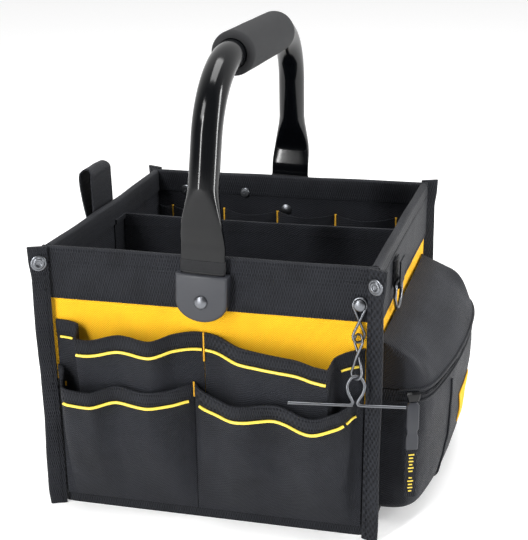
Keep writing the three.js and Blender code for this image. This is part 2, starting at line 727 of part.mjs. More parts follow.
function tubeRing({ out, up, width, depth, squareness, lean }, side) {
  const sides = 14;
  return Array.from({ length: sides }, (_, i) => {
    const angle = TAU * i / sides;
    const power = 2 / squareness;
    const x = width / 2 * Math.sign(Math.cos(angle)) * Math.abs(Math.cos(angle)) ** power;
    const thick = depth / 2 * Math.sign(Math.sin(angle)) * Math.abs(Math.sin(angle)) ** power;
    const y = out + thick * Math.cos(lean);
    return new THREE.Vector3(x, side * y, up + thick * Math.sin(lean));
  });
}

// Handle parts are built about the pivots, then leaned and lifted to their place
function hang(geometry) {
  return geometry.rotateY(HANDLE_LEAN).translate(0, 0, PIVOT_HEIGHT);
}

function handle() {
  const stations = tubeStations();
  const front = stations.map((station) => tubeRing(station, -1));
  const back = stations.map((station) => tubeRing(station, 1)).reverse();
  const pivotBore = drill(0, 0, RIVET_SHANK_RADIUS);
  piece('handle_tube', hang(cut(loft([...front, ...back]), pivotBore)), 'glossBlack');
  piece('grip', hang(gripSleeve()), 'foam');
  piece('end_cap_front', hang(cut(endCap(), pivotBore)), 'greyPlastic');
  piece('end_cap_back', hang(cut(endCap().rotateZ(Math.PI), pivotBore)), 'greyPlastic');
}

// The grip is a straight sleeve over the top of the arch, rounded at both ends
function gripSleeve() {
  const half = GRIP_LENGTH / 2;
  const bore = TUBE_DIAMETER / 2 + 2 * GAP;
  const outer = GRIP_DIAMETER / 2;
  const rounded = (angle, end) => [
    outer - GRIP_ROUNDING + GRIP_ROUNDING * Math.cos(angle),
    end * (half - GRIP_ROUNDING + GRIP_ROUNDING * Math.sin(angle)),
  ];
  const quarter = Math.PI / 2;
  const profile = [
    [bore, -half],
    rounded(quarter, -1), rounded(quarter / 2, -1), rounded(0, -1),
    rounded(0, 1), rounded(quarter / 2, 1), rounded(quarter, 1),
    [bore, half],
    [bore, -half],
  ];
  return turned(profile, 16).translate(0, 0, ARCH_HEIGHT);
}

// The end cap is a shallow moulded cup over the flattened end: flat top, round foot
function endCap() {
  const half = CAP_WIDTH / 2;
  const outline = new THREE.Shape();
  outline.moveTo(half, CAP_RISE);
  outline.lineTo(-half, CAP_RISE);
  outline.lineTo(-half, 0);
  outline.absellipse(0, 0, half, CAP_DROP, Math.PI, TAU, false, 0);
  outline.lineTo(half, CAP_RISE);
  const drawn = { depth: CAP_DEPTH, bevelEnabled: false, curveSegments: 10 };
  const cup = new THREE.ExtrudeGeometry(outline, drawn);
  const face = HALF_DEPTH + GAP;
  const outwards = facingOut(bare(cup.rotateX(Math.PI / 2).translate(0, -face, 0)));
  const room = FLAT_WIDTH / 2 + GAP;
  const roomBack = FLAT_OUT + FLAT_THICKNESS / 2 + GAP;
  const roomFoot = FLARE_ROWS[0].up * FLARE_HEIGHT - GAP;
  return cut(outwards, block(-room, room, -roomBack, 0, roomFoot, CAP_RISE + 1));
}

// Rivets along Y: an outer dome, a shank and a flat inner head
function rivet(headRadius, headHeight, shankRadius, outFace, inFace, inRadius) {
  const dome = (angle) => [headRadius * Math.sin(angle), outFace + headHeight * Math.cos(angle)];
  return turned([
    dome(0), dome(Math.PI / 6), dome(Math.PI / 3), dome(Math.PI / 2),
    [shankRadius, outFace], [shankRadius, inFace],
    [inRadius, inFace], [inRadius * 0.8, inFace - headHeight * 0.7], [0, inFace - headHeight * 0.7],
  ]);
}

function rivets() {
  const lining = HALF_DEPTH - LINING_FACE - GAP;
  const capFace = HALF_DEPTH + GAP + CAP_DEPTH + GAP;
  const round = [RIVET_HEAD_RADIUS, RIVET_HEAD_HEIGHT, RIVET_SHANK_RADIUS];
  const pivot = rivet(...round, capFace, lining, RIVET_HEAD_RADIUS);
  piece('handle_rivet_back', pivot.clone().translate(0, 0, PIVOT_HEIGHT), 'steel');
  piece('handle_rivet_front', pivot.clone().rotateZ(Math.PI).translate(0, 0, PIVOT_HEIGHT), 'steel');
  const fold = HALF_DEPTH - RIM_DEPTH - GAP;
  const plain = [BACK_RIVET_HEAD_RADIUS, RIVET_HEAD_HEIGHT, RIVET_SHANK_RADIUS, HALF_DEPTH + GAP, fold];
  BACK_RIVET_PLACES.forEach((place, i) => {
    const geometry = rivet(...plain, BACK_RIVET_HEAD_RADIUS).translate(place, 0, BACK_RIVET_HEIGHT);
    piece(`back_rivet_${i === 0 ? 'left' : 'right'}`, geometry, 'steel');
  });
}

// A wire bent into two loops that cross in the middle: down from the middle of the upper loop to
// the middle of the lower one, with the lower loop turned about the length
function crossedLink(length, upperLoop, lowerLoop, turnTop, turnFoot) {
  const slope = Math.asin((upperLoop + lowerLoop) / length);
  const arcSteps = 8;
  const arc = (radius, middle, from, to) => Array.from({ length: arcSteps + 1 }, (_, i) => {
    const angle = THREE.MathUtils.lerp(from, to, i / arcSteps);
    return [radius * Math.cos(angle), middle + radius * Math.sin(angle)];
  });
  const crossing = -length * upperLoop / (upperLoop + lowerLoop);
  const apart = WIRE_RADIUS + GAP;
  const flat = [
    ...arc(upperLoop, 0, -slope, Math.PI + slope).map(([x, z]) => [x, z, 0]),
    [0, crossing, apart],
    ...arc(lowerLoop, -length, slope, -Math.PI - slope).map(([x, z]) => [x, z, 0]),
    [0, crossing, -apart],
  ];
  const points = flat.map(([x, z, depth]) => {
    const share = THREE.MathUtils.smoothstep(-z, -crossing * 0.5, -crossing * 1.5);
    const turn = THREE.MathUtils.lerp(turnTop, turnFoot, share);
    return new THREE.Vector3(
      x * Math.cos(turn) - depth * Math.sin(turn),
      x * Math.sin(turn) + depth * Math.cos(turn),
      z,
    );
  });
  return new THREE.CatmullRomCurve3(points, true, 'centripetal');
}

// The bar is one wire: out along the left arm, up round the eye and back out along the right arm
function barLine() {
  const rise = 2 * BAR_WIRE_RADIUS + GAP;
  const half = [
    [EYE_HALF_WIDTH * 0.55, EYE_HEIGHT * 0.94],
    [EYE_HALF_WIDTH, EYE_HEIGHT * 0.7],
    [EYE_HALF_WIDTH * 0.85, EYE_HEIGHT * 0.42],
    [BAR_BEND * 0.6 + BAR_WIRE_RADIUS * 0.4, rise],
    [BAR_BEND + BAR_WIRE_RADIUS * 0.5, BAR_BEND * 0.35],
    [2 * BAR_BEND + BAR_WIRE_RADIUS, 0],
  ];
  const right = half.map(([x, z]) => new THREE.Vector3(x, 0, z));
  const left = half.map(([x, z]) => new THREE.Vector3(-x, 0, z)).reverse();
  return new THREE.CatmullRomCurve3([
    new THREE.Vector3(-BAR_LEFT_ARM, 0, 0),
    ...left,
    new THREE.Vector3(0, 0, EYE_HEIGHT),
    ...right,
    new THREE.Vector3(BAR_RIGHT_ARM, 0, 0),
  ], false, 'centripetal');
}

// The chain hangs from its stud and lies forward over the pocket hem, each piece leaning a little
// more and turned about its length so that it can pass through the one above
const CHAIN_ROWS = {
  upper: { leanDeg: 8, topTurnDeg: 0, footTurnDeg: 42 },
  lower: { leanDeg: 15, topTurnDeg: -42, footTurnDeg: -30 },
  bar: { leanDeg: 14, topTurnDeg: 17, footTurnDeg: 17 },
};

function chain() {
  const rad = THREE.MathUtils.degToRad;
  const band = -HALF_DEPTH;
  const seat = 2 * WIRE_RADIUS + STUD_PLAY;
  const profile = [
    [0, -LINING_FACE],
    [STUD_RADIUS, -LINING_FACE],
    [STUD_RADIUS, seat],
    [STUD_HEAD_RADIUS, seat],
    [STUD_HEAD_RADIUS * 0.8, seat + STUD_HEAD_HEIGHT * 0.7],
    [0, seat + STUD_HEAD_HEIGHT],
  ];
  const x = drawnIn(STUD_ACROSS, STUD_HEIGHT);
  piece('chain_rivet', turned(profile).rotateZ(Math.PI).translate(x, band, STUD_HEIGHT), 'steel');

  const { upper, lower, bar } = CHAIN_ROWS;
  const down = (row, length) => new THREE.Vector3(0, -Math.sin(rad(row.leanDeg)), -Math.cos(rad(row.leanDeg)))
    .multiplyScalar(length);
  const link = (row, length, loop) => {
    const line = crossedLink(length, loop, loop, rad(row.topTurnDeg), rad(row.footTurnDeg));
    return wireLoop(line, WIRE_RADIUS, 5, 36).rotateX(-rad(row.leanDeg));
  };

  const upperAt = new THREE.Vector3(x, band - seat / 2, STUD_HEIGHT);
  const upperLink = link(upper, LINK_UPPER_LENGTH, LINK_UPPER_LOOP);
  piece('chain_link_upper', upperLink.translate(...upperAt.toArray()), 'steel');

  const wires = 2 * WIRE_RADIUS + GAP;
  const upperFoot = upperAt.clone().add(down(upper, LINK_UPPER_LENGTH + LINK_UPPER_LOOP));
  const lowerAt = upperFoot.add(new THREE.Vector3(0, 0, wires + LINK_SLACK - LINK_LOWER_LOOP));
  const lowerLink = link(lower, LINK_LOWER_LENGTH, LINK_LOWER_LOOP);
  piece('chain_link_lower', lowerLink.translate(...lowerAt.toArray()), 'steel');

  const barAt = lowerAt.clone().add(down(lower, LINK_LOWER_LENGTH + LINK_LOWER_LOOP - wires));
  const barWire = tube(barLine(), BAR_WIRE_RADIUS, 5, 54).translate(0, 0, -EYE_HEIGHT);
  barWire.rotateZ(rad(bar.topTurnDeg)).rotateX(-rad(bar.leanDeg));
  piece('chain_bar', barWire.translate(...barAt.toArray()), 'steel');
}

// The side loop: webbing up the outside of the left wall, over and back down
function sideLoop() {
  const rings = [];
  const inner = GAP + WEBBING / 2;
  const radius = (LOOP_DEPTH - WEBBING) / 2;
  const line = [
    [inner, LOOP_FOOT + 4],
    [inner, (LOOP_FOOT + LOOP_TOP) / 2],
    [inner + 1, LOOP_TOP - radius - 6],
  ];
  const archSteps = 6;
  for (let i = 0; i <= archSteps; i += 1) {
    const angle = Math.PI - Math.PI * i / archSteps;
    line.push([inner + 1 + radius + radius * Math.cos(angle), LOOP_TOP - radius + radius * Math.sin(angle)]);
  }
  line.push([inner + 2 * radius, LOOP_TOP - radius - 14]);
  line.push([inner + radius * 1.1, BODY_HEIGHT - 12]);
  line.push([inner + WEBBING + GAP, LOOP_FOOT + 14]);
  line.push([inner + WEBBING + GAP, LOOP_FOOT]);
  const points = line.map(([out, z]) => new THREE.Vector3(-HALF_WIDTH - out, 0, z));
  const curve = new THREE.CatmullRomCurve3(points);
  const steps = 26;
  for (let i = 0; i <= steps; i += 1) {
    const at = curve.getPoint(i / steps);
    const along = curve.getTangent(i / steps);
    const normal = new THREE.Vector3(along.z, 0, -along.x).multiplyScalar(WEBBING / 2);
    const rise = THREE.MathUtils.clamp((at.z - LOOP_TOP + LOOP_CORNER) / LOOP_CORNER, 0, 1);
    const half = LOOP_WIDTH / 2 - LOOP_CORNER * 0.5 * rise ** 2;
    const near = new THREE.Vector3(0, LOOP_PLACE - half, 0);
    const far = new THREE.Vector3(0, LOOP_PLACE + half, 0);
    rings.push([
      at.clone().add(normal).add(near),
      at.clone().sub(normal).add(near),
      at.clone().sub(normal).add(far),
      at.clone().add(normal).add(far),
    ]);
  }
  piece('side_loop', settle(loft(rings)), 'blackWebbing');
}

// The ring hangs in a folded webbing tab on the right wall
function sideRing() {
  const stand = GAP + WEBBING + GAP + RING_WIRE;
  const face = HALF_WIDTH + stand;
  const barHeight = TAB_FOOT + WEBBING + RING_WIRE + GAP;
  const half = RING_WIDTH / 2;
  const bow = Array.from({ length: 9 }, (_, i) => {
    const angle = Math.PI * i / 8;
    return new THREE.Vector3(0, half * Math.cos(angle), -RING_HEIGHT * (0.35 + 0.65 * Math.sin(angle)));
  });
  const points = [
    new THREE.Vector3(0, -half * 0.8, 0),
    new THREE.Vector3(0, 0, 0),
    new THREE.Vector3(0, half * 0.8, 0),
    ...bow,
  ];
  const ring = wireLoop(new THREE.CatmullRomCurve3(points, true, 'centripetal'), RING_WIRE, 6, 30);
  piece('d_ring', settle(ring.translate(face, RING_PLACE, barHeight)), 'steel');

  const outer = RING_WIRE + GAP + WEBBING;
  const inner = RING_WIRE + GAP;
  const section = [[-outer, TAB_TOP - barHeight]];
  const fold = 6;
  for (let i = 0; i <= fold; i += 1) {
    const angle = Math.PI + Math.PI * i / fold;
    section.push([outer * Math.cos(angle), outer * Math.sin(angle)]);
  }
  section.push([outer, TAB_TOP - barHeight], [inner, TAB_TOP - barHeight]);
  for (let i = 0; i <= fold; i += 1) {
    const angle = TAU - Math.PI * i / fold;
    section.push([inner * Math.cos(angle), inner * Math.sin(angle)]);
  }
  section.push([-inner, TAB_TOP - barHeight]);
  const tab = runAcross(section.map(([x, z]) => [-x, z]), TAB_WIDTH / 2).rotateZ(Math.PI / 2);
  piece('ring_tab', settle(tab.translate(face, RING_PLACE, barHeight)), 'blackWebbing');
}

// Side pouch. The plan table follows its outline at the zip from the front edge on the wall to
// the back edge: place along the pouch and reach from the wall, as shares of the named sizes.
const POUCH_PLAN = [
  { along: 0.0, out: 0.0 },
  { along: 0.002, out: 0.18 },
  { along: 0.004, out: 0.4 },
  { along: 0.022, out: 0.59 },
  { along: 0.07, out: 0.73 },
  { along: 0.17, out: 0.83 },
  { along: 0.35, out: 0.94 },
  { along: 0.55, out: 1.0 },
  { along: 0.76, out: 1.0 },
  { along: 0.9, out: 0.92 },
  { along: 0.97, out: 0.78 },
  { along: 0.996, out: 0.5 },
  { along: 0.998, out: 0.2 },
  { along: 1.0, out: 0.0 },
];
// From the foot on the wall, round the bottom edge and up to the zip
const POUCH_BODY_ROWS = [
  { up: 0.0, out: 0.0, long: 0.9 },
  { up: 0.0, out: 0.66, long: 0.9 },
  { up: 0.03, out: 0.73, long: 0.93 },
  { up: 0.12, out: 0.79, long: 0.95 },
  { up: 0.35, out: 0.89, long: 0.97 },
  { up: 0.65, out: 0.97, long: 0.99 },
  { up: 1.0, out: 1.0, long: 1.0 },
];
// From the zip up over the lid to its seam on the wall. The heights are shares of the rise from
// the zip to the seam, at the two ends and in the middle of the lid.
const POUCH_LID_ROWS = [
  { ends: 0.0, middle: 0.0, out: 1.0, long: 1.0 },
  { ends: 0.35, middle: 0.12, out: 0.95, long: 1.0 },
  { ends: 0.66, middle: 0.38, out: 0.8, long: 0.995 },
  { ends: 0.76, middle: 0.62, out: 0.6, long: 0.985 },
  { ends: 0.86, middle: 0.84, out: 0.38, long: 0.975 },
  { ends: 1.0, middle: 1.0, out: 0.035, long: 0.965 },
];

function pouchOutline() {
  return smoothLine(POUCH_PLAN, (row) => new THREE.Vector3(row.out, (row.along - 0.5) * POUCH_LENGTH, 0));
}

const POUCH_STEPS = 30;

// A point of the pouch: u round the outline, with its reach and length drawn in by shares. The
// pouch is sewn to the wall, or to the yellow cloth above its foot.
function pouchPoint(outline, u, out, long, z) {
  const at = outline.getPoint(u);
  const reach = Math.max(at.x, 0) * out * POUCH_REACH;
  const seam = z < SIDE_YELLOW_FOOT - GAP ? BOARD_FACE : CLOTH_FACE;
  return new THREE.Vector3(HALF_WIDTH - seam + GAP + reach, POUCH_PLACE + at.y * long, z);
}

function pouch() {
  const outline = pouchOutline();
  const count = (rows) => Array.from({ length: rows.length }, (_, i) => i / (rows.length - 1));
  const row = (rows, v) => rows[Math.round(v * (rows.length - 1))];
  const bodyTop = POUCH_ZIP_HEIGHT - ZIP_WIDTH / 2 - GAP;
  const bodyFace = (u, v) => {
    const { up, out, long } = row(POUCH_BODY_ROWS, v);
    return pouchPoint(outline, u, out, long, THREE.MathUtils.lerp(POUCH_FOOT, bodyTop, up));
  };
  const body = sheet(bodyFace, () => 2 * CLOTH, POUCH_STEPS, count(POUCH_BODY_ROWS));
  piece('pouch_body', settle(body), 'blackCloth');

  const lidFoot = POUCH_ZIP_HEIGHT + ZIP_WIDTH / 2 + CLOTH + GAP;
  const lidFace = (u, v) => {
    const { ends, middle, out, long } = row(POUCH_LID_ROWS, v);
    const inwards = THREE.MathUtils.smoothstep(Math.min(u, 1 - u), 0.18, 0.36);
    const up = THREE.MathUtils.lerp(ends, middle, inwards);
    return pouchPoint(outline, u, out, long, THREE.MathUtils.lerp(lidFoot, POUCH_TOP, up));
  };
  const lid = sheet(lidFace, () => 2 * CLOTH, POUCH_STEPS, count(POUCH_LID_ROWS));
  const lidSeam = HALF_WIDTH - CLOTH_FACE + GAP;
  const lidPoints = lid.attributes.position;
  for (let i = 0; i < lidPoints.count; i += 1) lidPoints.setX(i, Math.max(lidPoints.getX(i), lidSeam));
  piece('pouch_lid', settle(lid), 'blackCloth');

  const zipFace = (u, v) => {
    const z = POUCH_ZIP_HEIGHT + (v - 0.5) * ZIP_WIDTH;
    return pouchPoint(outline, u, 1, 1, z);
  };
  const zip = sheet(zipFace, () => ZIP_THICKNESS, POUCH_STEPS, [0, 1]);
  piece('pouch_zip', settle(zip), 'blackWebbing');

  const patchFace = (u, v) => {
    const along = THREE.MathUtils.lerp(0.4, 0.6, u);
    const z = PATCH_FOOT + v * PATCH_HEIGHT;
    const up = (z - POUCH_FOOT) / (bodyTop - POUCH_FOOT);
    const out = lookUp(POUCH_BODY_ROWS.slice(1), 'up', 'out', up);
    const long = lookUp(POUCH_BODY_ROWS.slice(1), 'up', 'long', up);
    const point = pouchPoint(outline, along, out, long, z);
    point.x += CLOTH + GAP;
    return point;
  };
  const patch = sheet(patchFace, () => CLOTH, 8, [0, 0.5, 1]);
  piece('pouch_patch', settle(patch), 'yellowCloth');
  zipPull(outline);
}

// The slider sits on the zip near its front end, with the pull and its ribbon hanging below
function zipPull(outline) {
  const share = 0.2;
  const at = pouchPoint(outline, share, 1, 1, POUCH_ZIP_HEIGHT);
  const before = pouchPoint(outline, share - 0.02, 1, 1, POUCH_ZIP_HEIGHT);
  const ahead = pouchPoint(outline, share + 0.02, 1, 1, POUCH_ZIP_HEIGHT).sub(before);
  const turn = Math.atan2(ahead.y, ahead.x);
  const hung = (width, front, back, top, length) => {
    const strip = block(-width / 2, width / 2, -front, -back, top - length, top);
    return settle(strip.rotateZ(turn).translate(at.x, at.y, at.z));
  };
  const back = 4 * GAP;
  const sliderTop = SLIDER_WIDTH / 2;
  piece('zip_slider', hung(SLIDER_LENGTH, back + SLIDER_DEPTH, back, sliderTop, SLIDER_WIDTH), 'steel');
  const pullTop = -sliderTop - GAP;
  const pull = hung(PULL_WIDTH, back + PULL_THICKNESS, back, pullTop, PULL_LENGTH);
  piece('zip_pull', pull, 'greyPlastic');
  const ribbonTop = pullTop - PULL_LENGTH - GAP;
  const ribbonBack = back + (PULL_THICKNESS - RIBBON_THICKNESS) / 2;
  const ribbon = hung(RIBBON_WIDTH, ribbonBack + RIBBON_THICKNESS, ribbonBack, ribbonTop, RIBBON_LENGTH);
  piece('pull_ribbon', ribbon, 'blackWebbing');
}

bagSides();
bagFloor();
corners();
frontPockets();
inside();
handle();
rivets();
chain();
sideLoop();
sideRing();
pouch();

export default tote;
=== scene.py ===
# Open top tool tote: its looks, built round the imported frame.
# Sizes in the tables are millimetres; every mesh is made in metres.

import math

import bmesh
import bpy
from mathutils import Matrix, Vector, noise


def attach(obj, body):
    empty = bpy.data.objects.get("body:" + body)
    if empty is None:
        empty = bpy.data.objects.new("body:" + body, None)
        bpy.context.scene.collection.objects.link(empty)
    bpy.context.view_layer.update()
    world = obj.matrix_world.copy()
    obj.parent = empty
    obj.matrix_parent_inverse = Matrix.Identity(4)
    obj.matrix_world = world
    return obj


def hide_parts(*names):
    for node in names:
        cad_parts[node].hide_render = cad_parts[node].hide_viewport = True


bl_info = {
    "name": "Open Top Tool Tote",
    "version": (1, 0, 0),
    "blender": (4, 5, 0),
    "location": "View3D > Sidebar > Tote",
    "description": "Builds the cloth, webbing, handle and metal parts of an open tool tote",
    "category": "Object",
}

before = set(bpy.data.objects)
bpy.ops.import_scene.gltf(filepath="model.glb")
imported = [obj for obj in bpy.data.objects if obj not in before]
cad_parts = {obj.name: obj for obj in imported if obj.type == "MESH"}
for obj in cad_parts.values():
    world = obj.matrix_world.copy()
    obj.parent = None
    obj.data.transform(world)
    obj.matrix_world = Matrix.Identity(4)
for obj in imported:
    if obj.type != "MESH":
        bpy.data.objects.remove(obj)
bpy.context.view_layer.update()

MM = 0.001
TAU = 2 * math.pi

# Between neighbouring layers, the stiff board in each wall, and the rim webbing from face to face
GAP = 0.3
BOARD = 2.2
RIM_DEPTH = 7.1


def length_prop(name, description, millimetres):
    """A length; Blender keeps and shows it in metres"""
    return bpy.props.FloatProperty(name=name, description=description, default=millimetres * MM,
                                   precision=4, unit="LENGTH")


def linear(code):
    """Linear colour from an sRGB hex code"""
    parts = [int(code[i:i + 2], 16) / 255 for i in (1, 3, 5)]
    return tuple(c / 12.92 if c <= 0.04045 else ((c + 0.055) / 1.055) ** 2.4 for c in parts)


def colour_prop(name, description, code):
    """A colour, given as an sRGB hex code"""
    return bpy.props.FloatVectorProperty(name=name, description=description, default=linear(code),
                                         min=0.0, max=1.0, subtype="COLOR")


class ToteSizes(bpy.types.PropertyGroup):
    """Sizes of the tote"""

    half_width: length_prop("Half width", "Middle to the outer side face", 146.0)
    half_depth: length_prop("Half depth", "Middle to the outer front face", 145.0)
    height: length_prop("Height", "Floor to the rim", 243.0)
    foot_inset: length_prop("Foot inset", "How far each side draws in at the floor", 3.5)
    end_band: length_prop("End band", "Height of the front and back rim webbing", 47.0)
    side_band: length_prop("Side band", "Height of the side rim webbing", 56.0)
    cloth: length_prop("Cloth", "Thickness of the cloth", 1.2)
    webbing: length_prop("Webbing", "Thickness of the webbing", 1.4)
    tube: length_prop("Tube", "Diameter of the handle tube", 25.6)
    grip: length_prop("Grip", "Diameter of the foam grip", 39.0)
    pivot: length_prop("Pivot height", "Floor to the handle rivets", 206.5)
    pouch_reach: length_prop("Pouch reach", "Side wall to the pouch's face", 60.0)


class ToteColours(bpy.types.PropertyGroup):
    """Colours of the tote"""

    cloth: colour_prop("Cloth", "Black woven cloth", "#0f1013")
    webbing: colour_prop("Webbing", "Black ribbed webbing", "#101114")
    yellow: colour_prop("Yellow", "Yellow woven cloth", "#e3ab1f")
    piping: colour_prop("Piping", "Yellow piping cord", "#e8cc48")
    enamel: colour_prop("Enamel", "Handle tube", "#050608")
    foam: colour_prop("Foam", "Grip foam", "#101114")
    plastic: colour_prop("Plastic", "End caps and pull", "#25272d")
    nickel: colour_prop("Nickel", "Rivets, snaps and wire", "#6b6d71")


class Millimetres:
    """The tote's sizes in millimetres, and how far inside the webbing's face its other layers lie"""

    def __getattr__(self, key):
        return round(getattr(bpy.context.scene.tote_sizes, key) / MM, 4)

    @property
    def cloth_face(self):
        return self.webbing + GAP

    @property
    def board_face(self):
        return self.cloth_face + self.cloth + GAP

    @property
    def inside(self):
        return self.board_face + BOARD + GAP


def sizes():
    """The tote's sizes, as every shape here uses them"""
    return Millimetres()


def lerp(a, b, t):
    """The value at share t of the way from a to b"""
    return a + (b - a) * t


def smooth(t):
    """A share eased at both ends, held between 0 and 1"""
    t = min(1.0, max(0.0, t))
    return t * t * (3 - 2 * t)


def through(a, b, c, d, t):
    """The point at share t from b to c, on a smooth curve through all four"""
    return 0.5 * (2 * b + (c - a) * t + (2 * a - 5 * b + 4 * c - d) * t * t
                  + (3 * b - a - 3 * c + d) * t ** 3)


def column(rows, share, key):
    """A table's value at a share of its first column, on a smooth line that never overshoots"""
    last = len(rows) - 1
    share = min(max(share, rows[0][0]), rows[last][0])
    low = next(i for i in range(last) if share <= rows[i + 1][0])

    def slope(i):
        return (rows[i + 1][key] - rows[i][key]) / (rows[i + 1][0] - rows[i][0])

    def tangent(i):
        if i in (0, last):
            return slope(min(i, last - 1))
        a, b = slope(i - 1), slope(i)
        return 2 * a * b / (a + b) if a * b > 0 else 0.0

    span = rows[low + 1][0] - rows[low][0]
    t = (share - rows[low][0]) / span
    start, end = rows[low][key], rows[low + 1][key]
    return (start * (2 * t ** 3 - 3 * t * t + 1) + end * (3 * t * t - 2 * t ** 3)
            + span * (tangent(low) * (t ** 3 - 2 * t * t + t) + tangent(low + 1) * (t ** 3 - t * t)))


def ripple(x, y, z, scale):
    """Smooth noise from -1 to 1, with hollows and humps of about this many millimetres"""
    return noise.noise(Vector((x / scale, y / scale, z / scale)))


# Materials


def plug(tree, target, links):
    """Sets or links a node's inputs. A node given as a source stands for its first output."""
    for socket, source in links:
        if isinstance(source, bpy.types.Node):
            source = source.outputs[0]
        if isinstance(source, bpy.types.NodeSocket):
            tree.links.new(source, target.inputs[socket])
        else:
            target.inputs[socket].default_value = source


def node(tree, kind, links=(), **settings):
    """Adds a node, sets its values and plugs in its inputs"""
    made = tree.nodes.new(kind)
    for key, value in settings.items():
        setattr(made, key, value)
    plug(tree, made, links)
    return made


def begin(name, colour, vary):
    """A new material: its tree, shader, object coordinates, and a darker and a lighter tint"""
    material = bpy.data.materials.new(name)
    material.use_nodes = True
    tree = material.node_tree
    spot = node(tree, "ShaderNodeTexCoord").outputs["Object"]
    low = [max(0.0, c * (1 - vary)) for c in colour] + [1.0]
    high = [min(1.0, c * (1 + vary)) for c in colour] + [1.0]
    return material, tree, tree.nodes["Principled BSDF"], spot, low, high


def woven(name, colour, across, along, depth, rough, vary, slub=0.0, skew=0.0):
    """Cloth of two sets of threads. across and along are thread spacings in millimetres."""
    material, tree, shader, spot, low, high = begin(name, colour, vary)
    x, y, z = node(tree, "ShaderNodeSeparateXYZ", [(0, spot)]).outputs
    side = node(tree, "ShaderNodeMath", [(0, x), (1, y)], operation="ADD")
    warp = node(tree, "ShaderNodeMath", [(0, side), (1, TAU / (across * MM))], operation="MULTIPLY")
    slant = node(tree, "ShaderNodeMath", [(0, x), (1, y)], operation="SUBTRACT")
    rise = node(tree, "ShaderNodeMath", [(0, slant), (1, skew), (2, z)], operation="MULTIPLY_ADD")
    weft = node(tree, "ShaderNodeMath", [(0, rise), (1, TAU / (along * MM))], operation="MULTIPLY")
    warp_wave = node(tree, "ShaderNodeMath", [(0, warp)], operation="SINE")
    weft_wave = node(tree, "ShaderNodeMath", [(0, weft)], operation="SINE")
    threads = node(tree, "ShaderNodeMath", [(0, warp_wave), (1, weft_wave)], operation="MULTIPLY")
    half = node(tree, "ShaderNodeMath", [(0, threads), (1, 0.5), (2, 0.5)], operation="MULTIPLY_ADD")
    fuzz = node(tree, "ShaderNodeTexNoise", [("Vector", spot), ("Scale", 900.0), ("Detail", 2.0)])
    cloud = node(tree, "ShaderNodeTexNoise", [("Vector", spot), ("Scale", 28.0), ("Detail", 3.0)])
    grain = node(tree, "ShaderNodeMath", [(0, fuzz), (1, slub), (2, half)], operation="MULTIPLY_ADD")
    patchy = node(tree, "ShaderNodeMath", [(0, cloud), (1, 1.2), (2, 0.3)], operation="MULTIPLY_ADD")
    blend = node(tree, "ShaderNodeMath", [(0, grain), (1, patchy)], operation="MULTIPLY")
    tint = node(tree, "ShaderNodeMix", [(0, blend), (6, low), (7, high)], data_type="RGBA")
    bump = node(tree, "ShaderNodeBump", [("Height", grain), ("Strength", depth), ("Distance", 0.0006)])
    plug(tree, shader, [("Base Color", tint.outputs[2]), ("Normal", bump), ("Roughness", rough),
                        ("Sheen Weight", 0.02), ("Sheen Roughness", 0.5), ("Specular IOR Level", 0.12)])
    return material


def plain(name, colour, rough, grain, metal=0.0, depth=0.03, vary=0.08, ior=1.5, specular=0.5):
    """A hard or foamed finish with a fine uneven surface. grain is the noise scale per metre."""
    material, tree, shader, spot, low, high = begin(name, colour, vary)
    fine = node(tree, "ShaderNodeTexNoise", [("Vector", spot), ("Scale", grain), ("Detail", 3.0)])
    tint = node(tree, "ShaderNodeMix", [(0, fine), (6, low), (7, high)], data_type="RGBA")
    bump = node(tree, "ShaderNodeBump", [("Height", fine), ("Strength", depth), ("Distance", 0.0004)])
    shine = node(tree, "ShaderNodeMapRange", [(0, fine), (3, rough * 0.85), (4, rough * 1.15)])
    plug(tree, shader, [("Base Color", tint.outputs[2]), ("Normal", bump), ("Roughness", shine),
                        ("Metallic", metal), ("Specular IOR Level", specular)])
    if not metal:
        plug(tree, shader, [("IOR", ior)])
    return material


MATERIALS = {}


def materials():
    """All finishes, made once. The weaves are drawn about twice as coarse as real ones, so that they show."""
    if MATERIALS:
        return MATERIALS
    hue = bpy.context.scene.tote_colours
    MATERIALS.update(
        # Ballistic nylon: thick threads in a plain weave, speckled with small highlights
        cloth=woven("ballistic_nylon", hue.cloth, 2.6, 2.2, 1.0, 0.55, vary=2.6, slub=0.9, skew=0.3),
        # Polypropylene webbing: fine upright ribs, matt with a little sheen
        webbing=woven("polypropylene_webbing", hue.webbing, 2.3, 7.0, 1.0, 0.55, vary=2.2, slub=0.6),
        # Polyester oxford: a close weave, bright and nearly flat
        yellow=woven("polyester_oxford", hue.yellow, 2.3, 1.9, 0.8, 0.7, vary=0.3, slub=0.4),
        # Vinyl piping: smooth and slightly glossy
        piping=plain("vinyl_piping", hue.piping, 0.42, 200, depth=0.02),
        # Polyester thread of the bar tacks: slightly shiny, with a fine twist
        thread=plain("polyester_thread", hue.yellow, 0.6, 900, depth=0.2),
        # Powder coated steel tube: deep black with a clear, soft-edged shine
        enamel=plain("gloss_powder_coat", hue.enamel, 0.14, 120, depth=0.02, specular=0.3),
        # Closed-cell foam: matt, finely pitted
        foam=plain("nitrile_foam", hue.foam, 0.85, 1300, depth=0.5, vary=0.25),
        # Moulded polypropylene: satin, fine spark-eroded grain
        plastic=plain("moulded_polypropylene", hue.plastic, 0.5, 1600, depth=0.12),
        # Nickel plate: bright but softly worn
        nickel=plain("nickel_plate", hue.nickel, 0.34, 260, metal=1.0, vary=0.12),
    )
    return MATERIALS


# Meshes


def settled(x, z):
    """The walls draw in towards the floor, and all that is sewn to them follows"""
    s = sizes()
    share = min(1.0, abs(x) / s.half_width)
    return x - math.copysign(share * s.foot_inset * (1 - z / s.height), x)


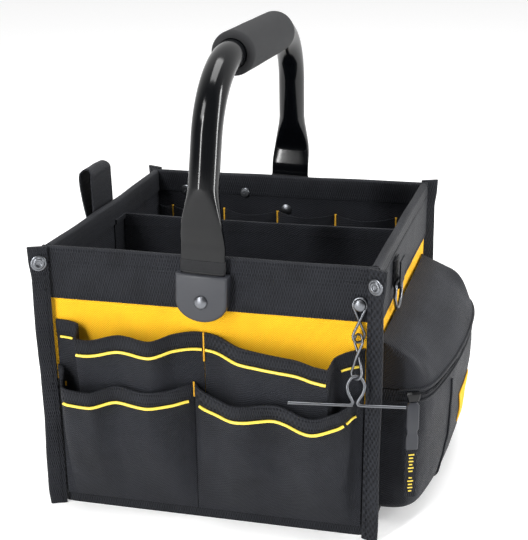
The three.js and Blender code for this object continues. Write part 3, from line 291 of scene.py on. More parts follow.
def make(name, points, faces, finish, body="bag", settle=True, flat=False):
    """A mesh piece from millimetre points"""
    mesh = bpy.data.meshes.new(name)
    at = [((settled(p[0], p[2]) if settle else p[0]) * MM, p[1] * MM, p[2] * MM) for p in points]
    mesh.from_pydata(at, [], faces)
    mesh.validate()
    for face in mesh.polygons:
        face.use_smooth = not flat
    obj = bpy.data.objects.new(name, mesh)
    bpy.context.collection.objects.link(obj)
    obj.data.materials.append(materials()[finish])
    obj["tote_body"] = body
    return obj


def finish_piece(obj, nodes=(), smooth_angle=None):
    """Normals out, then the piece rides on its body and stands for its nodes"""
    bm = bmesh.new()
    bm.from_mesh(obj.data)
    bmesh.ops.remove_doubles(bm, verts=bm.verts, dist=1e-6)
    bmesh.ops.recalc_face_normals(bm, faces=bm.faces)
    bm.to_mesh(obj.data)
    bm.free()
    if smooth_angle:
        obj.data.set_sharp_from_angle(angle=math.radians(smooth_angle))
    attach(obj, obj["tote_body"])
    if nodes:
        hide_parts(*nodes)
    return obj


def grid_faces(count_u, count_v, start=0, flip=False, closed_u=False):
    """Faces between rows of points, with count_u points in each of count_v rows"""
    faces = []
    wide = count_u if closed_u else count_u - 1
    for j in range(count_v - 1):
        for i in range(wide):
            k = (i + 1) % count_u
            a, b = start + j * count_u + i, start + j * count_u + k
            quad = (a, b, b + count_u, a + count_u)
            faces.append(quad[::-1] if flip else quad)
    return faces


def cloth_sheet(name, face, steps_u, steps_v, thick, finish, nodes=(),
                limit=None):
    """A closed sheet from face(u, v); the back lies behind along the normal"""
    front = [[Vector(face(i / steps_u, j / steps_v)) for i in range(steps_u + 1)]
             for j in range(steps_v + 1)]
    back = []
    for j, row in enumerate(front):
        line = []
        for i, point in enumerate(row):
            along = row[min(i + 1, steps_u)] - row[max(i - 1, 0)]
            up = front[min(j + 1, steps_v)][i] - front[max(j - 1, 0)][i]
            inner = point + up.cross(along).normalized() * thick
            line.append(limit(inner) if limit else inner)
        back.append(line)
    n, m = steps_u + 1, steps_v + 1
    points = [p for row in front for p in row] + [p for row in back for p in row]
    faces = grid_faces(n, m) + grid_faces(n, m, n * m, flip=True)
    rim = list(range(n)) + [j * n + n - 1 for j in range(1, m)]
    rim += [(m - 1) * n + i for i in range(n - 2, -1, -1)] + [j * n for j in range(m - 2, 0, -1)]
    for a, b in zip(rim, rim[1:] + rim[:1]):
        faces.append((b, a, a + n * m, b + n * m))
    obj = finish_piece(make(name, points, faces, finish), nodes, 50)
    area = length = 0.0
    for j in range(m):
        length = max(length, sum((front[j][i + 1] - front[j][i]).length for i in range(n - 1)))
    for j in range(m - 1):
        for i in range(n - 1):
            a, b, c, d = front[j][i], front[j][i + 1], front[j + 1][i + 1], front[j + 1][i]
            area += ((b - a).cross(c - a).length + (c - a).cross(d - a).length) / 2
    return obj


def loft(name, rings, finish, nodes=(), body="bag", settle=True, angle=40, joined=None):
    """Closed rings of points joined into one skin. Its ends are closed, or with joined, the last ring
    meets the first one, turned on by that many points."""
    n = len(rings[0])
    last = (len(rings) - 1) * n
    points = [p for ring in rings for p in ring]
    faces = grid_faces(n, len(rings), closed_u=True)
    if joined is None:
        faces += [tuple(range(n))[::-1], tuple(last + i for i in range(n))]
    else:
        faces += [(last + k, last + (k + 1) % n, (k + 1 + joined) % n, (k + joined) % n) for k in range(n)]
    return finish_piece(make(name, points, faces, finish, body, settle), nodes, angle)


def spline(points, steps, closed=False):
    """Points on a smooth curve through the given ones"""
    p = [Vector(q) for q in points]
    count = len(p)
    out = []
    for i in range(count if closed else count - 1):
        ends = range(i - 1, i + 3)
        near = [p[k % count] if closed else p[min(max(k, 0), count - 1)] for k in ends]
        out += [through(*near, k / steps) for k in range(steps)]
    if not closed:
        out.append(p[-1])
    return out


def wire(name, line, radius, finish, nodes=(), body="bag", closed=False, sides=12, settle=False):
    """A round bar along a line of points, without twist"""
    count = len(line)
    rings = []
    normal = None
    for i, point in enumerate(line):
        before = line[(i - 1) % count] if closed or i else line[i]
        after = line[(i + 1) % count] if closed or i < count - 1 else line[i]
        along = (after - before).normalized()
        if normal is None:
            normal = along.orthogonal().normalized()
        normal = (normal - along * normal.dot(along)).normalized()
        side = along.cross(normal)
        turns = [TAU * k / sides for k in range(sides)]
        rings.append([point + (normal * math.cos(a) + side * math.sin(a)) * radius for a in turns])
    joined = min(range(sides), key=lambda s: (rings[-1][0] - rings[0][s]).length) if closed else None
    return loft(name, rings, finish, nodes, body, settle, 60, joined)


def turned(name, profile, place, axis, finish, nodes=(), body="bag", sides=32):
    """A round piece from (radius, height) pairs, along an axis"""
    turn = Vector((0, 0, 1)).rotation_difference(Vector(axis)).to_matrix()
    rings = []
    for radius, height in profile:
        radius = max(radius, 0.01)
        around = [TAU * k / sides for k in range(sides)]
        ring = [Vector((radius * math.cos(a), radius * math.sin(a), height)) for a in around]
        rings.append([Vector(place) + turn @ p for p in ring])
    return loft(name, rings, finish, nodes, body, settle=False, angle=35)


# A stitch from end to end: share of its length, share of its radius
STITCH_ROWS = ((-0.5, 0.2), (-0.3, 1.0), (0.3, 1.0), (0.5, 0.2))
STITCH_SIDES = 6


def stitches(name, line, out, pitch, length, radius, finish):
    """Stitches along a line, each a small spindle lying on the surface"""
    points, faces = [], []
    travelled = 0.0
    for a, b in zip(line, line[1:]):
        span = (b - a).length
        along = (b - a).normalized()
        side = along.cross(out).normalized()
        while travelled < span:
            start = len(points)
            for share, fat in STITCH_ROWS:
                middle = a + along * (travelled + share * length)
                for k in range(STITCH_SIDES):
                    turn = TAU * k / STITCH_SIDES
                    points.append(middle + (side * math.cos(turn) + out * math.sin(turn)) * radius * fat)
            end = len(points) - STITCH_SIDES
            faces += grid_faces(STITCH_SIDES, len(STITCH_ROWS), start, closed_u=True)
            faces += [tuple(start + k for k in range(STITCH_SIDES))[::-1],
                      tuple(end + k for k in range(STITCH_SIDES))]
            travelled += pitch
        travelled -= span
    return finish_piece(make(name, points, faces, finish))


# The four walls: name, quarter turns from the front, whether it spans the whole width as the end
# walls do, foot of its yellow cloth, and how far its slack middle leans in at the rim
SIDES = (
    ("front", 0, True, 120.0, 0.0),
    ("right", 1, False, 128.6, 0.6),
    ("back", 2, True, 128.6, 1.0),
    ("left", 3, False, 128.6, 2.2),
)


def turn_side(point, quarter):
    """A point of the front wall, turned on to another side"""
    x, y, z = point
    for _ in range(quarter):
        x, y = -y, x
    return Vector((x, y, z))


def wall_bow(share, z, quarter):
    """How far a slack wall leans in at a share of its length"""
    return SIDES[quarter][4] * math.sin(math.pi * share) * smooth(z / sizes().height)


class TOTE_OT_body(bpy.types.Operator):
    """Makes the walls, the yellow cloth, the rim webbing and the floor"""

    bl_idname = "tote.body"
    bl_label = "Body"

    def execute(self, context):
        s = sizes()
        for name, quarter, endwise, foot, _ in SIDES:
            out = s.half_depth if endwise else s.half_width
            half = s.half_width if endwise else s.half_depth
            self.board(name, quarter, out, half, endwise)
            self.yellow(name, quarter, out, half, foot)
            self.band(name, quarter, out, half, endwise)
        self.floor()
        return {"FINISHED"}

    def board(self, name, quarter, out, half, endwise):
        """The stiff wall, up to the underside of the rim webbing"""
        s = sizes()
        wide = half - (s.board_face if endwise else s.inside)
        seat, top = s.board_face - out, s.height - s.cloth_face

        def face(u, v):
            x, z = lerp(-wide, wide, u), lerp(0.0, top, v)
            return turn_side((x, seat + wall_bow(u, z, quarter), z), quarter)

        cloth_sheet(f"wall_{name}_cloth", face, 40, 30, BOARD, "cloth", [f"wall_{name}"])

    def yellow(self, name, quarter, out, half, foot):
        """The yellow cloth over the upper half of a wall"""
        s = sizes()
        wide = half - s.board_face
        seat, top = s.cloth_face - out, s.height - s.cloth_face

        def face(u, v):
            x, z = lerp(-wide, wide, u), lerp(foot, top, v)
            puff = 0.5 * ripple(x, 7.0 * quarter, z, 38.0)
            return turn_side((x, seat + wall_bow(u, z, quarter) + min(0.0, puff), z), quarter)

        cloth_sheet(f"yellow_{name}_cloth", face, 60, 24, s.cloth, "yellow", [f"yellow_panel_{name}"])

    def band(self, name, quarter, out, half, endwise):
        """The webbing folded over the rim, with two rows of stitches"""
        s = sizes()
        high = s.end_band if endwise else s.side_band
        wide = half if endwise else half - s.cloth_face
        top, thick, bend = s.height, s.webbing, 2.9
        section = [(0.0, top - high)]
        section += [(0.0, top - high * k / 8) for k in range(7, 1, -1)]
        # The upper seam draws a shallow groove
        section += [(-0.35, top - 15.5), (0.25, top - 14.2), (-0.2, top - 12.6), (0.0, top - 6.0)]
        for k in range(7):
            angle = math.pi * k / 6
            depth = RIM_DEPTH / 2 - RIM_DEPTH / 2 * math.cos(angle)
            section.append((depth, top - bend + bend * math.sin(angle)))
        inner = RIM_DEPTH - thick
        section += [(RIM_DEPTH, top - 12), (RIM_DEPTH, top - 22), (inner, top - 22), (inner, top - 4)]
        section += [(thick, top - 4), (thick, top - high * 0.5), (thick, top - high)]
        rings = []
        steps = 90
        for i in range(steps + 1):
            share = i / steps
            x = lerp(-wide, wide, share)
            ring = []
            for depth, z in section:
                reach = wide
                if endwise and depth > 3.0 and z < top - 2:
                    reach = half - s.inside
                if not endwise and (depth > 1.5 or z > top - 3):
                    reach = half - RIM_DEPTH - 0.5
                held = smooth((z - top + high) / high)
                lift = 0.9 * ripple(x, 3.0 + quarter, 0.0, 60.0) * held * math.sin(math.pi * share)
                soft = min(0.0, 0.5 * ripple(x, quarter * 5.0, z, 24.0)) if depth < 1.0 else 0.0
                y = depth - out + wall_bow(share, z, quarter) + soft
                ring.append(turn_side((max(-reach, min(reach, x)), y, z + lift - 0.6 * held), quarter))
            rings.append(ring)
        loft(f"rim_{name}_webbing", rings, "webbing", [f"rim_band_{name}"], angle=50)
        for height in (top - 13.2, top - high + 3.0):
            line = []
            for i in range(41):
                y = wall_bow(i / 40, height, quarter) - out - 0.15
                line.append(turn_side((lerp(9 - wide, wide - 9, i / 40), y, height), quarter))
            stitches(f"rim_{name}_stitch_{int(height)}", line, turn_side((0, -1, 0), quarter),
                     3.4, 2.6, 0.38, "webbing")

    def floor(self):
        """The floor cloth, and the binding round the foot of the walls"""
        s = sizes()
        x, y = s.half_width - s.inside, s.half_depth - s.inside

        def face(u, v):
            px, py = lerp(-x, x, u), lerp(y, -y, v)
            return (px, py, 3.0 - 0.3 * abs(ripple(px, py, 0, 50.0)))

        cloth_sheet("floor_cloth", face, 40, 40, 2.6, "cloth", ["base_panel"])
        rings = []
        section = ((0.0, 0.4), (0.0, 5.0), (0.0, 9.2), (0.5, 10.0), (1.6, 9.8), (2.6, 9.0),
                   (2.6, 0.6), (1.5, 0.0))
        corner = 0.06  # a low power keeps the corners of the loop nearly square
        for depth, z in section:
            hx, hy = s.half_width - 0.1 - depth, s.half_depth - 0.1 - depth
            ring = []
            for k in range(120):
                a = TAU * (k + 0.5) / 120
                c, d = math.cos(a), math.sin(a)
                ring.append(Vector((math.copysign(hx * abs(c) ** corner, c),
                                    math.copysign(hy * abs(d) ** corner, d), z)))
            rings.append(ring)
        loft("base_binding_webbing", rings, "webbing", ["base_binding"], angle=50, joined=0)


# Corner bindings: height share, reach share, swing share
FIN_ROWS = (
    (0.0, 0.93, 0.9), (0.06, 1.0, 1.0), (0.2, 0.97, 1.0), (0.38, 0.9, 0.8), (0.5, 0.92, 0.7),
    (0.7, 0.97, 1.0), (0.88, 0.94, 1.1), (0.95, 1.05, 1.0), (1.0, 1.06, 0.9),
)


def fin_out(swing):
    """Outward direction of the front right binding"""
    angle = math.radians(26) * swing
    return Vector((math.cos(angle), -math.sin(angle), 0))


def fin_root(z):
    """Where the front right binding stands out from its corner"""
    s = sizes()
    return Vector((s.half_width - 6.5, -s.half_depth - 2.1, z))


class TOTE_OT_corners(bpy.types.Operator):
    """Makes the folded webbing of the four corners and their snaps"""

    bl_idname = "tote.corners"
    bl_label = "Corner bindings"

    def execute(self, context):
        for name, flip_x, flip_y in (("front_right", 1, 1), ("front_left", -1, 1),
                                     ("back_right", 1, -1), ("back_left", -1, -1)):
            self.binding(name, Vector((flip_x, flip_y, 1)))
        # A dished cap with a raised ring: radius and height
        profile = [(0.0, 0.0), (6.9, 0.0), (7.0, 0.5), (6.9, 0.9), (6.4, 1.3), (5.9, 1.5), (5.2, 1.35),
                   (4.9, 1.9), (4.2, 2.35), (3.3, 2.4), (2.7, 2.1), (2.3, 1.3), (1.6, 1.0),
                   (0.8, 0.95), (0.0, 0.95)]
        out, snap_height = fin_out(1), 229
        front = Vector((out.y, -out.x, 0))
        seat = fin_root(snap_height) + out * 8 + front * 2.2
        for name, flip in (("right", 1), ("left", -1)):
            place = Vector((settled(seat.x, snap_height) * flip, seat.y, snap_height))
            turned(f"snap_{name}_nickel", profile, place, (front.x * flip, front.y, 0), "nickel",
                   [f"corner_snap_{name}"])
        return {"FINISHED"}

    def binding(self, name, mirror):
        """One corner's folded webbing with its stitches, made at the front right and mirrored"""
        s = sizes()
        rings = []
        steps = 70
        for i in range(steps + 1):
            up = i / steps
            z = up * s.height
            wave = 0.05 * ripple(11.0 * mirror.x, 5.0 * mirror.y, z, 20.0)
            out = fin_out(column(FIN_ROWS, up, 2) + wave)
            across = Vector((-out.y, out.x, 0))
            length = 16 * column(FIN_ROWS, up, 1) * (1 + 0.5 * wave)
            # Thicker on one side where no other webbing lies between it and the wall
            fill = 1.9 * smooth((z - 11) / 3) * (1 - smooth((z - 112) / 4))
            fill += 0.8 * smooth((z - 122) / 4) * (1 - smooth((z - 184) / 3))
            section = ((0, 0.9 + fill), (0.12, 1 + fill), (0.5, 0.92), (0.86, 1), (0.96, 0.8), (1, 0),
                       (0.96, -0.8), (0.86, -1), (0.5, -0.92), (0.12, -1), (0, -0.9))
            rings.append([mirror * (fin_root(z) + out * length * along + across * side * 1.8)
                          for along, side in section])
        loft(f"corner_{name}_webbing", rings, "webbing", [f"corner_binding_{name}"], angle=60)
        line = []
        for i in range(60):
            up = lerp(0.02, 0.98, i / 59)
            out = fin_out(column(FIN_ROWS, up, 2))
            across = Vector((-out.y, out.x, 0))
            line.append(mirror * (fin_root(up * s.height) + out * 4.0 - across * 1.95))
        facing = Vector((0.4 * mirror.x, -mirror.y, 0)).normalized()
        stitches(f"corner_{name}_stitch", line, facing, 3.4, 2.6, 0.35, "webbing")


# Front pockets: place along the hem, stand-off and sag, as shares
UPPER_LEFT = (
    (0, 0, 0), (0.08, 0.06, 0), (0.16, 0.16, 0.1), (0.19, 0.74, 0.74), (0.27, 0.72, 0.8),
    (0.47, 0.46, 0.45), (0.67, 0.6, 0.6), (0.82, 0.22, 0.2), (0.94, 0.06, 0.05), (1, 0, 0.1),
)
UPPER_RIGHT = (
    (0, 0, 0.1), (0.06, 0.06, 0.15), (0.26, 0.5, 0.6), (0.41, 0.6, 0.8), (0.6, 0.7, 0.95),
    (0.73, 0.84, 1.2), (0.81, 0.84, 1.3), (0.835, 0.4, 0.8), (0.91, 0.14, 0.5), (1, 0, 0.3),
)
LOWER_LEFT = (
    (0, 0, 0), (0.05, 0.2, 0.1), (0.085, 0.75, 1.0), (0.14, 0.82, 1.15), (0.29, 0.88, 1.2),
    (0.48, 0.48, 0.8), (0.68, 0.56, 1.05), (0.86, 0.4, 0.85), (0.97, 0.12, 0.6), (1, 0, 0.6),
)
LOWER_RIGHT = (
    (0, 0, 0.5), (0.03, 0.22, 0.6), (0.14, 0.55, 0.9), (0.28, 0.8, 1.2), (0.5, 0.62, 1.0),
    (0.73, 0.98, 1.4), (0.88, 0.7, 1.0), (0.92, 0.5, 0.8), (0.955, 0.2, 0.5), (1, 0, 0.4),
)
# Name, hem table, left and right end, foot and hem height, lift off the wall, and which part of the
# hem has piping
POCKETS = (
    ("upper_left", UPPER_LEFT, -137.4, -2.3, 64.0, 176.5, 0.0, (0.195, 0.99)),
    ("upper_right", UPPER_RIGHT, -1.7, 137.4, 64.0, 176.5, 0.0, (0.01, 0.8)),
    ("lower_left", LOWER_LEFT, -137.4, -11.3, 10.3, 135.5, 2.7, (0.1, 0.97)),
    ("lower_right", LOWER_RIGHT, -10.7, 137.4, 10.3, 135.5, 2.7, (0.05, 0.91)),
)
# The piping that shows again on a pleat: its part of the hem
PLEATS = {"upper_left": (0.03, 0.12), "upper_right": (0.87, 0.97), "lower_right": (0.925, 0.965)}
FULL_STAND, FULL_SAG, HEM = 28.0, 12.0, 13


def pocket_point(pocket, u, v, proud=0.0):
    """A point of a pocket's face: u along its hem, v from its foot up"""
    name, rows, left, right, foot, hem, lift, _ = pocket
    s = sizes()
    stand = column(rows, u, 1) * FULL_STAND
    sag = column(rows, u, 2) * FULL_SAG
    fullness = 1 - (1 - v) ** 1.7
    x = lerp(left, right, u)
    z = lerp(foot, hem - sag, v)
    seed = 10.0 * len(name) + left
    folds = 3.0 * ripple(x, seed, z * 0.35, 26.0) + 0.7 * ripple(x, seed, z * 0.6, 11.0)
    near_hem = 1.0 if v < 0.8 else 1 - 0.6 * smooth((v - 0.8) * 5)
    crumple = folds * smooth(stand * fullness / 12.0) * near_hem
    puff = 2.2 * math.sin(math.pi * v) ** 2 * smooth(stand / 14.0)
    y = -(s.half_depth - s.cloth_face + GAP + s.cloth + lift) - stand * fullness - puff - crumple - proud
    return Vector((x, y, z))


class TOTE_OT_pockets(bpy.types.Operator):
    """Makes the four front pockets with their hems, piping and bar tacks"""

    bl_idname = "tote.pockets"
    bl_label = "Front pockets"

    def execute(self, context):
        for pocket in POCKETS:
            self.pocket(pocket)
        for name, x, out, low, high in (
                ("upper", -2.0, 0.9, 150.0, 176.0), ("lower", -11.0, 3.6, 118.0, 131.0),
                ("left_end", -131.0, 3.6, 116.0, 120.0), ("right_end", 130.5, 3.6, 116.0, 125.0)):
            y = -sizes().half_depth - out
            line = [Vector((x, y, lerp(low, high, i / 12))) for i in range(13)]
            stitches(f"bar_tack_{name}", line, Vector((0, -1, 0)), 0.9, 0.8, 0.9, "thread")
        return {"FINISHED"}

    def pocket(self, pocket):
        """One pocket with its hem, piping and stitches"""
        s = sizes()
        name, _, _, _, foot, hem, lift, span = pocket
        limit = -(s.half_depth - s.cloth_face + GAP + lift)
        hem_line = 1 - HEM / (hem - foot)

        def face(u, v):
            return pocket_point(pocket, u, v)

        def hem_face(u, v):
            return pocket_point(pocket, u, lerp(hem_line, 1.0, v), 0.9 + 0.4 * math.sin(math.pi * v))

        def keep(p):
            return Vector((p.x, min(p.y, limit), p.z))

        cloth_sheet(f"pocket_{name}_cloth", face, 120, 40, s.cloth, "cloth", [f"pocket_{name}"],
                    limit=keep)
        cloth_sheet(f"hem_{name}_cloth", hem_face, 120, 6, 0.8, "webbing")
        line = [pocket_point(pocket, lerp(*span, i / 90), hem_line - 0.02, 1.5) for i in range(91)]
        wire(f"piping_{name}_vinyl", line, 1.3, "piping", [f"piping_{name}"], sides=10, settle=True)
        if name in PLEATS:
            bit = [pocket_point(pocket, lerp(*PLEATS[name], i / 12), hem_line - 0.02, 1.3) for i in range(13)]
            wire(f"piping_{name}_pleat", bit, 1.1, "piping", sides=8, settle=True)
        for k, depth in enumerate((0.15, 0.8)):
            seam = [pocket_point(pocket, i / 80, lerp(hem_line, 1.0, depth), 1.35) for i in range(81)]
            stitches(f"hem_{name}_stitch_{k}", seam, Vector((0, -1, 0)), 3.2, 2.4, 0.3, "webbing")


class TOTE_OT_inside(bpy.types.Operator):
    """Makes the padded divider and the inner pocket strip"""

    bl_idname = "tote.inside"
    bl_label = "Inside"

    def execute(self, context):
        self.divider()
        self.inner_pocket()
        return {"FINISHED"}

    def divider(self):
        """The padded cross wall, from y 3 to 30, with a return along each side wall"""
        s = sizes()
        x = s.half_width - s.inside
        steps = [i / 50 for i in range(51)]
        outline = [(-x, 3), (3 - x, 3), (3 - x, 12), (3 - x, 27)]
        outline += [(lerp(4 - x, x - 4, t), 27 + 0.4 * ripple(t * 250.0, 3.0, 0, 30.0)) for t in steps]
        outline += [(x - 3, 27), (x - 3, 12), (x - 3, 3), (x, 3), (x, 12), (x, 30)]
        outline += [(lerp(x - 4, 4 - x, t), 30) for t in steps]
        outline += [(-x, 30), (-x, 12)]
        rings = []
        for z, narrow in ((3.4, 0.0), (60, 0.0), (120, 0.0), (180, 0.0), (219, 0.0), (221, 2.2),
                          (224.2, 2.2), (225.0, 2.6)):
            ring = []
            for px, py in outline:
                dip = 1.2 * math.sin(math.pi * (px + x) / (2 * x)) if z > 200 else 0.0
                if z > 224.5 and abs(px) < x - 4:
                    py = lerp(28.5, py, 0.75)
                if abs(px) > x - 3.5:
                    px -= math.copysign(narrow, px)
                ring.append(Vector((px, py, z - dip)))
            rings.append(ring)
        pad = loft("divider_pad", rings, "cloth", ["divider"], angle=50)
        line = [Vector((lerp(5 - x, x - 5, t), 26.6, 214.0)) for t in steps]
        stitches("divider_stitch", line, Vector((0, -1, 0)), 3.4, 2.4, 0.35, "webbing")

    def inner_pocket(self):
        """A strip on the back wall, held by five bar tacks, with an arch between each two"""
        s = sizes()
        half = s.half_width - s.inside - s.cloth
        seat = s.half_depth - s.inside - s.cloth
        seams = (-half, -124, -67, -9, 53, 116, half)

        def face(u, v):
            x = half * (1 - 2 * u)
            k = next(k for k in range(6) if x <= seams[k + 1] + 1e-6)
            wide = seams[k + 1] - seams[k]
            arch = max(0.0, math.sin(math.pi * (x - seams[k]) / wide)) * min(1.0, wide / 50)
            bulge = 10.5 * arch ** 0.8 * (0.35 + 0.65 * v)
            return (x, seat - bulge, lerp(95.0, 205.0, v) - 3.0 * arch * v)

        def keep(p):
            return Vector((p.x, min(p.y, seat), p.z))

        cloth_sheet("inner_pocket_cloth", face, 100, 20, s.cloth, "cloth", ["inner_pocket"],
                    limit=keep)
        for k, place in enumerate(seams[1:-1]):
            line = [Vector((place, seat - 1.6, 186 + i * 1.2)) for i in range(17)]
            stitches(f"inner_bar_tack_{k}", line, Vector((0, -1, 0)), 0.9, 0.9, 1.2, "thread")


# Handle: share of the flare, width, flatness, how far the middle line has left the wall
FLARE_ROWS = (
    (-0.13, 1, 1, 0), (0.28, 1, 1, 0), (0.48, 1, 0.97, 0), (0.6, 0.92, 0.9, 0.45), (0.7, 0.74, 0.76, 0.9),
    (0.79, 0.5, 0.56, 1), (0.88, 0.25, 0.32, 1), (0.95, 0.08, 0.13, 1), (1.02, 0, 0, 1),
)
# Height of the flare and of the arch above the rivets, half its straight top, its bend's radius, the
# lean of its legs, and how far its flattened ends stand off the walls
FLARE, ARCH, TOP_HALF, BEND, LEG_LEAN = 95.0, 193.0, 77.0, 69.0, math.radians(9)
STAND = 3.4
FLAT_WIDTH, FLAT_THICK = 38, 4


def arch_point(angle):
    """A point of the bend, as how far out and how far up"""
    return TOP_HALF + BEND * math.cos(angle), ARCH - BEND + BEND * math.sin(angle)


def leg_out(up):
    """How far out a straight leg stands at a height"""
    out, height = arch_point(LEG_LEAN)
    return out + (height - up) * math.tan(LEG_LEAN)


def hang(point):
    """A handle point, built about the pivots, leaned and lifted to its place"""
    lean = math.radians(2.1)
    x, y, z = point
    up = z * math.cos(lean) - x * math.sin(lean) + sizes().pivot
    return Vector((x * math.cos(lean) + z * math.sin(lean), y, up))


class TOTE_OT_handle(bpy.types.Operator):
    """Makes the handle tube, its foam grip, the end caps and the rivets"""

    bl_idname = "tote.handle"
    bl_label = "Handle"

    def execute(self, context):
        s = sizes()
        flat_out = s.half_depth + STAND + 2 * GAP + FLAT_THICK / 2
        stations = []
        steps = 44
        for i in range(steps + 1):
            up = lerp(-0.13, 1.02, i / steps)
            wide, flat, away = (column(FLARE_ROWS, up, k) for k in (1, 2, 3))
            height = up * FLARE
            inside = 10 * smooth(-height / 12)
            stations.append((lerp(flat_out, leg_out(height), away), height,
                             lerp(s.tube, FLAT_WIDTH, wide) - inside, lerp(s.tube, FLAT_THICK, flat),
                             lerp(2, 5, flat), LEG_LEAN * away))
        for i in range(1, 25):
            angle = lerp(LEG_LEAN, math.pi / 2, i / 24)
            out, up = arch_point(angle)
            stations.append((out, up, s.tube, s.tube, 2, angle))
        sides = 36

        def ring(station, side):
            out, up, width, depth, square, lean = station
            points = []
            for k in range(sides):
                a = TAU * k / sides
                c, d = math.cos(a), math.sin(a)
                x = width / 2 * math.copysign(abs(c) ** (2 / square), c)
                t = depth / 2 * math.copysign(abs(d) ** (2 / square), d)
                points.append(hang((x, side * (out + t * math.cos(lean)), up + t * math.sin(lean))))
            return points
        rings = [ring(st, -1) for st in stations] + [ring(st, 1) for st in reversed(stations)]
        loft("handle_tube_steel", rings, "enamel", ["handle_tube"], "handle", False, 50)
        self.grip()
        for name, side in (("front", -1), ("back", 1)):
            # Painted shade: a thin matt dark sleeve in the foam finish, just above each end cap, standing in
            # for the shadow on the flattened end of the tube
            band = [(out, up, width + 0.7, depth + 0.7, square, lean)
                    for out, up, width, depth, square, lean in stations if 23.5 < up < 36.5]
            loft(f"handle_painted_shade_band_{name}", [ring(st, side) for st in band], "foam", (), "handle", False, 50)
            self.cap(name, side)
            self.rivet(name, side)
        return {"FINISHED"}

    def grip(self):
        """The foam sleeve on the straight top"""
        s = sizes()
        half, outer, bore, soften = 75.0, s.grip / 2, s.tube / 2 + 2 * GAP, 6
        bends = [math.pi / 2 * k / 6 for k in range(7)]
        shoulder = [(outer - soften + soften * math.cos(a), half - soften + soften * math.sin(a))
                    for a in bends]
        profile = [(bore, -half)] + [(radius, -y) for radius, y in reversed(shoulder)]
        profile += [(outer, lerp(soften - half, half - soften, k / 30)) for k in range(1, 30)]
        profile += shoulder + [(bore, half)]
        around = [TAU * k / 48 for k in range(48)]
        rings = []
        for radius, y in profile:
            ring = []
            for a in around:
                soft = radius * (1 + 0.012 * ripple(40 * math.cos(a), y, 40 * math.sin(a), 30.0) - 0.006)
                ring.append(hang((soft * math.cos(a), y, ARCH + soft * math.sin(a))))
            rings.append(ring)
        sleeve = loft("grip_foam", rings, "foam", ["grip"], "handle", False, 60, joined=0)

    def cap(self, name, side):
        """A moulded cup: flat top, round foot, softened edges"""
        s = sizes()
        wide = 22.5
        outline = [(wide, 23.0), (0.0, 23.0), (-wide, 23.0), (-wide, 11.0)]
        foot = [math.pi * (1 + k / 20) for k in range(21)]
        outline += [(wide * math.cos(a), 18 * math.sin(a)) for a in foot] + [(wide, 11.0)]
        rings = []
        for depth, shrink in ((0.3, 0.0), (6.0, 0.0), (10.2, 0.0), (11.3, 0.5), (11.9, 1.4), (12.1, 2.6)):
            rings.append([hang((px * (1 - shrink / wide), side * (s.half_depth + depth),
                                2.5 + (pz - 2.5) * (1 - shrink / 20.5))) for px, pz in outline])
        loft(f"cap_{name}_plastic", rings, "plastic", [f"end_cap_{name}"], "handle", False, 35)

    def rivet(self, name, side):
        """A round-head rivet that the handle swings on, with its inner end"""
        s = sizes()
        face, wall = s.half_depth + 9.0 + STAND, s.half_depth - s.inside
        bends = [math.pi / 2 * k / 7 for k in range(1, 8)]
        profile = [(3.0, wall - face), (3.0, 0.0), (5.7, 0.0), (5.8, 0.35)]
        profile += [(5.8 * math.cos(a), 0.35 + 2.4 * math.sin(a)) for a in bends]
        turned(f"handle_rivet_{name}_nickel", profile, (0, side * face, s.pivot), (0, side, 0), "nickel",
               [f"handle_rivet_{name}"])
        inner = [(5.8, 0.0), (5.8, 1.0), (4.6, 1.9), (0.0, 2.1)]
        turned(f"handle_rivet_{name}_inner", inner, (0, side * wall, s.pivot), (0, -side, 0), "nickel")


class TOTE_OT_back_rivets(bpy.types.Operator):
    """Makes the two rivets through the back wall"""

    bl_idname = "tote.back_rivets"
    bl_label = "Back rivets"

    def execute(self, context):
        s = sizes()
        for name, x in (("left", -109), ("right", -44)):
            fold = s.half_depth - 7.4
            head = [(3.0, -7.6), (3.0, 0.0), (4.9, 0.0), (5.0, 0.5), (4.4, 1.7), (3.0, 2.4),
                    (1.5, 2.7), (0.0, 2.8)]
            turned(f"back_rivet_{name}_nickel", head, (x, s.half_depth + 0.2, 223), (0, 1, 0), "nickel",
                   [f"back_rivet_{name}"])
            inner = [(5.0, 0.0), (5.0, 0.9), (4.2, 1.8), (1.6, 2.0), (1.2, 1.4), (0.0, 1.4)]
            turned(f"back_rivet_{name}_inner", inner, (x, fold, 223), (0, -1, 0), "nickel")
        return {"FINISHED"}


def crossed_link(length, loop, turn_top, turn_foot, radius):
    """Points of a wire bent into two loops that cross in the middle"""
    slope = math.asin(2 * loop / length)
    apart = radius + 0.3
    crossing = -length / 2

    def arc(middle, start, end):
        turns = [lerp(start, end, k / 8) for k in range(9)]
        return [(loop * math.cos(a), middle + loop * math.sin(a), 0.0) for a in turns]

    rows = arc(0, -slope, math.pi + slope) + [(0, crossing, apart)]
    rows += arc(-length, slope, -math.pi - slope) + [(0, crossing, -apart)]
    points = []
    for x, z, depth in rows:
        share = smooth((-z + crossing * 0.5) / (-crossing))
        turn = lerp(turn_top, turn_foot, share)
        c, d = math.cos(turn), math.sin(turn)
        points.append(Vector((x * c - depth * d, x * d + depth * c, z)))
    return points


